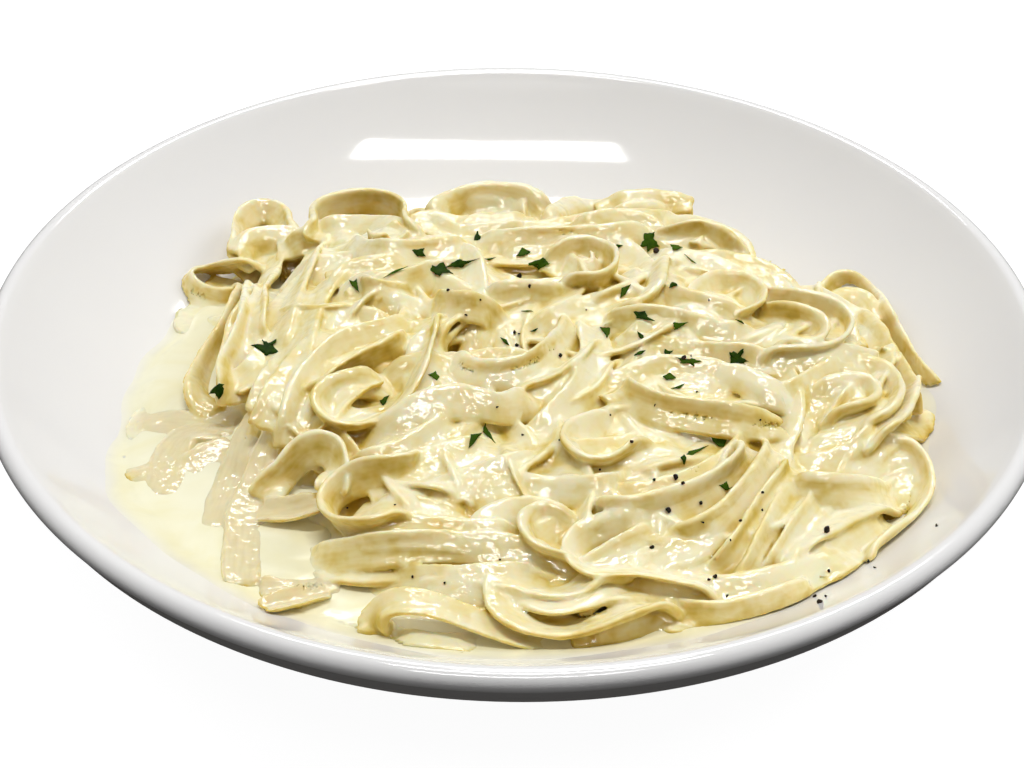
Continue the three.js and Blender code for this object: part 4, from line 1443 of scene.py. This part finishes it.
def noodle_finish(film):
    """Egg dough that shows through an uneven film of cream, darkened to gold by painted shade in
    creases, in hollows and on steep sides.
    """
    material, tree, shader = new_material("cooked egg noodle in cream")
    labels = "film", "drawn", "along", "across", "hollow", "cavity_shade", "facing", "egg", "pale"
    attribute = {label: value_of(tree, label) for label in labels}
    sizes = {"Patch Size": 9.0, "Wrinkle Size": 2.4, "Amount": 0.55}
    coat = add_node(tree, "ShaderNodeGroup", sizes, node_tree=film)
    # Fine lines run along each strip where the film on it is thin.
    place = add_node(tree, "ShaderNodeCombineXYZ", {
        "X": math_node(tree, "MULTIPLY", attribute["along"], 0.22),
        "Y": math_node(tree, "MULTIPLY", attribute["across"], 4.5),
    }).outputs[0]
    lines = noise(tree, place, 1.0, 0.0)
    thin_film = remap(tree, attribute["film"], 0.25, 0.7, 1.0, 0.0)
    lines = math_node(tree, "MULTIPLY", math_node(tree, "SUBTRACT", lines, 0.5), thin_film)
    # The egg dough shows where little cream clings; on steep sides, in creases and in hollows the
    # colour is also darkened to deep gold as painted shade.
    terms = (
        (remap(tree, attribute["cavity_shade"], 0.48, 0.72), 0.50),
        (remap(tree, attribute["facing"], 0.98, 0.30), 0.48),
        (remap(tree, attribute["hollow"], 0.10, 0.9), 0.35),
        (attribute["egg"], 0.22),
        (attribute["drawn"], 0.14),
        (lines, 0.18),
        (coat.outputs["Mask"], -0.36),
        (remap(tree, attribute["film"], 0.35, 1.2), -0.30),
    )
    bare = 0.24
    for value, weight in terms:
        bare = math_node(tree, "MULTIPLY_ADD", value, weight, bare)
    ramp = add_node(tree, "ShaderNodeValToRGB", {"Fac": bare})
    stops = ramp.color_ramp.elements
    for spot, colour in DOUGH_AND_PAINTED_SHADE:
        stop = stops.new(spot) if 0.0 < spot < 1.0 else stops[0 if spot == 0.0 else -1]
        stop.color = colour
    dough = ramp.outputs[0]
    pale = mix_colours(tree, remap(tree, lines, -0.5, 0.7), PALE_DOUGH, PALE_STREAK)
    tinted = mix_colours(tree, remap(tree, attribute["pale"], 0.0, 1.0, 0.0, 0.9), dough, pale)
    colour = mix_colours(tree, remap(tree, bare, 0.35, 0.6), tinted, dough)
    relief = math_node(tree, "MULTIPLY_ADD", lines, 0.10, coat.outputs["Height"])
    make_wet(tree, shader, relief, coat.outputs["Gloss"], 0.00030)
    feed_all(tree, shader, {
        "Base Color": colour,
        "Subsurface Weight": 0.9,
        "Subsurface Radius": (1.0, 0.75, 0.42),
        "Subsurface Scale": 0.0013,
    })
    return material


def make_wet(tree, shader, relief, gloss, depth):
    """A soft body under a thin clear film, whose shine fades at the very outline."""
    turned = add_node(tree, "ShaderNodeLayerWeight", {"Blend": 0.5}).outputs["Facing"]
    kept = remap(tree, turned, 0.60, 0.90, 1.0, 0.0)
    feed_all(tree, shader, {
        "Normal": bump(tree, 0.15, depth, relief),
        "Roughness": 0.6,
        "Specular IOR Level": 0.0,
        "Coat Weight": math_node(tree, "MULTIPLY", kept, gloss),
        "Coat Normal": bump(tree, 1.0, depth, relief),
        "Coat Roughness": 0.13,
        "Coat IOR": 1.5,
    })


def cream_finish(film):
    """Cream with soft swirls and a thin pale edge."""
    material, tree, shader = new_material("cream and parmesan sauce")
    rim = value_of(tree, "rim")
    sizes = {"Patch Size": 14.0, "Wrinkle Size": 7.0, "Amount": 0.6}
    coat = add_node(tree, "ShaderNodeGroup", sizes, node_tree=film)
    swirl = noise(tree, place_of(tree), 60.0, 4.0, 1.2)
    cream = mix_colours(tree, remap(tree, swirl, 0.3, 0.7), CREAM, CREAM_WHITE)
    # The thin outer edge is pale, as the plate shows through it.
    ragged = math_node(tree, "MULTIPLY_ADD", swirl, 5.0, math_node(tree, "SUBTRACT", rim, 2.5))
    edge = remap(tree, ragged, 5.0, -0.5, 0.0, 0.8)
    colour = mix_colours(tree, edge, cream, (0.85, 0.84, 0.79, 1))
    tree.links.new(colour, shader.inputs["Base Color"])
    relief = math_node(tree, "MULTIPLY_ADD", swirl, 0.6, coat.outputs["Height"])
    make_wet(tree, shader, relief, coat.outputs["Gloss"], 0.00025)
    return material


def crumb_finish(name, grain, weights, low, dark, light):
    """An uneven colour between a dark and a light one, that is not the same on any two."""
    material, tree, shader = new_material(name)
    rough = noise(tree, place_of(tree), grain, 3.0)
    mixed = math_node(tree, "MULTIPLY", rough, weights[1])
    mixed = math_node(tree, "MULTIPLY_ADD", value_of(tree, "shade"), weights[0], mixed)
    colour = mix_colours(tree, remap(tree, mixed, low, 0.95), dark, light)
    tree.links.new(remap(tree, rough, 0.3, 0.7, 0.35, 0.6), shader.inputs["Roughness"])
    return material, tree, shader, rough, colour


def leaf_finish():
    """Green leaf with paler veins."""
    dark, light = (0.006, 0.022, 0.001, 1), (0.050, 0.110, 0.004, 1)
    material, tree, shader, rough, green = crumb_finish(
        "chopped parsley", 700.0, (0.5, 0.7), 0.2, dark, light)
    veins = add_node(tree, "ShaderNodeTexVoronoi", {"Vector": place_of(tree), "Scale": 900.0})
    vein = remap(tree, veins.outputs["Distance"], 0.08, 0.0, 0.0, 0.4)
    green = mix_colours(tree, vein, green, (0.07, 0.17, 0.02, 1))
    relief = bump(tree, 0.4, 0.0002, rough)
    feed_all(tree, shader, {"Base Color": green, "Normal": relief, "Specular IOR Level": 0.03})
    return material


def grain_finish():
    """Dark cracked grains, some browner than others."""
    dark, light = (0.005, 0.004, 0.004, 1), (0.040, 0.025, 0.016, 1)
    material, tree, shader, rough, colour = crumb_finish(
        "cracked black pepper", 1500.0, (0.4, 0.8), 0.3, dark, light)
    relief = bump(tree, 0.7, 0.0002, rough)
    feed_all(tree, shader, {"Base Color": colour, "Normal": relief, "Specular IOR Level": 0.1})
    return material


def porcelain_finish():
    """White glaze, with a bare ring under the foot."""
    material, tree, shader = new_material("glazed porcelain")
    place = place_of(tree)
    cloud = noise(tree, place, 16.0, 3.0)
    speck = noise(tree, place, 900.0, 2.0)
    height = add_node(tree, "ShaderNodeSeparateXYZ", {"Vector": place}).outputs["Z"]
    glaze = mix_colours(tree, cloud, (0.83, 0.82, 0.81, 1), (0.87, 0.865, 0.855, 1))
    foot = remap(tree, height, 0.0007, 0.0002)
    shine = math_node(tree, "MULTIPLY_ADD", speck, 0.04, 0.05)
    relief = math_node(tree, "MULTIPLY_ADD", speck, 0.02, cloud)
    feed_all(tree, shader, {
        "Base Color": mix_colours(tree, foot, glaze, (0.62, 0.58, 0.52, 1)),
        "Roughness": math_node(tree, "MULTIPLY_ADD", foot, 0.5, shine),
        "Normal": bump(tree, 0.25, 0.0005, relief),
        "IOR": 1.5,
    })
    return material


# --------------------------------------------------------------------- studio


# Lamps: place and size in metres, power, the point they face, whether wet things
# mirror them, and whether they light the rest.
LAMPS = [
    ("overhead strip", (0.20, 0.05, 3.0), (1.6, 0.33), 50, (0.20, 0.05, 0), True, True),
    ("front softbox", (0.25, -1.25, 2.75), (2.2, 0.5), 4, (0, 0, 0), True, True),
    ("far glint", (0.2, 1.9, 2.3), (1.5, 0.5), 34, (0, 0, 0), True, False),
    ("middle glint", (0.2, 1.15, 2.9), (0.8, 0.22), 16, (0, 0, 0), True, False),
    ("near glint", (0.1, -1.35, 2.4), (1.5, 0.3), 26, (0, 0, 0), True, False),
    ("side window", (2.0, 0.9, 1.7), (1.4, 1.4), 20, (0, 0, 0), False, True),
    ("left window", (-1.8, 1.4, 1.7), (1.4, 1.4), 12, (0, 0, 0), False, True),
]


def add_light(name, spot, size, power, aim, seen, lights):
    """A lamp panel that faces a point, with its long side level."""
    back = (Vector(spot) - Vector(aim)).normalized()
    level = Vector((1, 0, 0)) if abs(back.z) > 0.7 else Vector((0, 0, 1)).cross(back).normalized()
    upright = back.cross(level).normalized()
    level = upright.cross(back)
    data = bpy.data.lights.new(name, "AREA")
    data.shape = "RECTANGLE"
    data.size, data.size_y = size
    data.energy = power
    light = bpy.data.objects.new(name, data)
    turn = Matrix((level, upright, back)).transposed().to_4x4()
    light.matrix_world = Matrix.Translation(spot) @ turn
    light.visible_glossy = seen
    light.visible_diffuse = lights
    bpy.context.collection.objects.link(light)


FLOOR_HALF = 4.0
FLOOR_DROP = 0.0002  # how far the paper lies under the plate's foot


def set_studio():
    """Plain white floor, soft light from all round above and two lamps overhead."""
    world = bpy.data.worlds.new("studio")
    bpy.context.scene.world = world
    world.use_nodes = True
    tree = world.node_tree
    tree.nodes.clear()
    aim = add_node(tree, "ShaderNodeTexCoord").outputs["Generated"]
    height = add_node(tree, "ShaderNodeSeparateXYZ", {"Vector": aim}).outputs["Z"]
    sky = remap(tree, height, -0.12, 0.10)
    shade = mix_colours(tree, sky, (0.10, 0.095, 0.09, 1), (0.93, 0.93, 0.94, 1))
    # Wet surfaces mirror a bright room; its light on everything else is dimmer.
    mirrored = add_node(tree, "ShaderNodeLightPath").outputs["Is Glossy Ray"]
    strength = math_node(tree, "MULTIPLY_ADD", mirrored, 0.25, 0.27)
    light = add_node(tree, "ShaderNodeBackground", {"Color": shade, "Strength": strength})
    output = tree.nodes.new("ShaderNodeOutputWorld")
    tree.links.new(light.outputs[0], output.inputs["Surface"])

    for lamp in LAMPS:
        add_light(*lamp)

    size = FLOOR_HALF
    corners = [(-size, -size, 0), (size, -size, 0), (size, size, 0), (-size, size, 0)]
    mesh = bpy.data.meshes.new("floor")
    mesh.from_pydata(corners, [], [(0, 1, 2, 3)])
    floor = bpy.data.objects.new("floor", mesh)
    floor.location.z = -FLOOR_DROP
    bpy.context.collection.objects.link(floor)
    material, tree, shader = new_material("white paper")
    feed_all(tree, shader, {
        "Base Color": (0.2, 0.2, 0.2, 1),
        "Roughness": 0.9,
        "Emission Color": (1, 1, 1, 1),
        "Emission Strength": 0.95,
    })
    mesh.materials.append(material)
    floor.visible_diffuse = False
    floor.visible_glossy = False
    bpy.context.scene.view_settings.view_transform = "Standard"


# ---------------------------------------------------------------------- build

set_studio()
film = wet_film_group()
strips = lay_noodles()
field, fill = pour_cream(strips)
noodles = make_noodles(strips, field, fill, noodle_finish(film))
pool = Field(0.95)
pool_height, inset = pool_top(pool)
cream = make_cream(pool, pool_height, inset, cream_finish(film))
plate = make_plate(porcelain_finish())
ground = shown_ground([noodles, cream, plate])
scatter_leaves(ground, leaf_finish())
scatter_grains(ground, grain_finish())
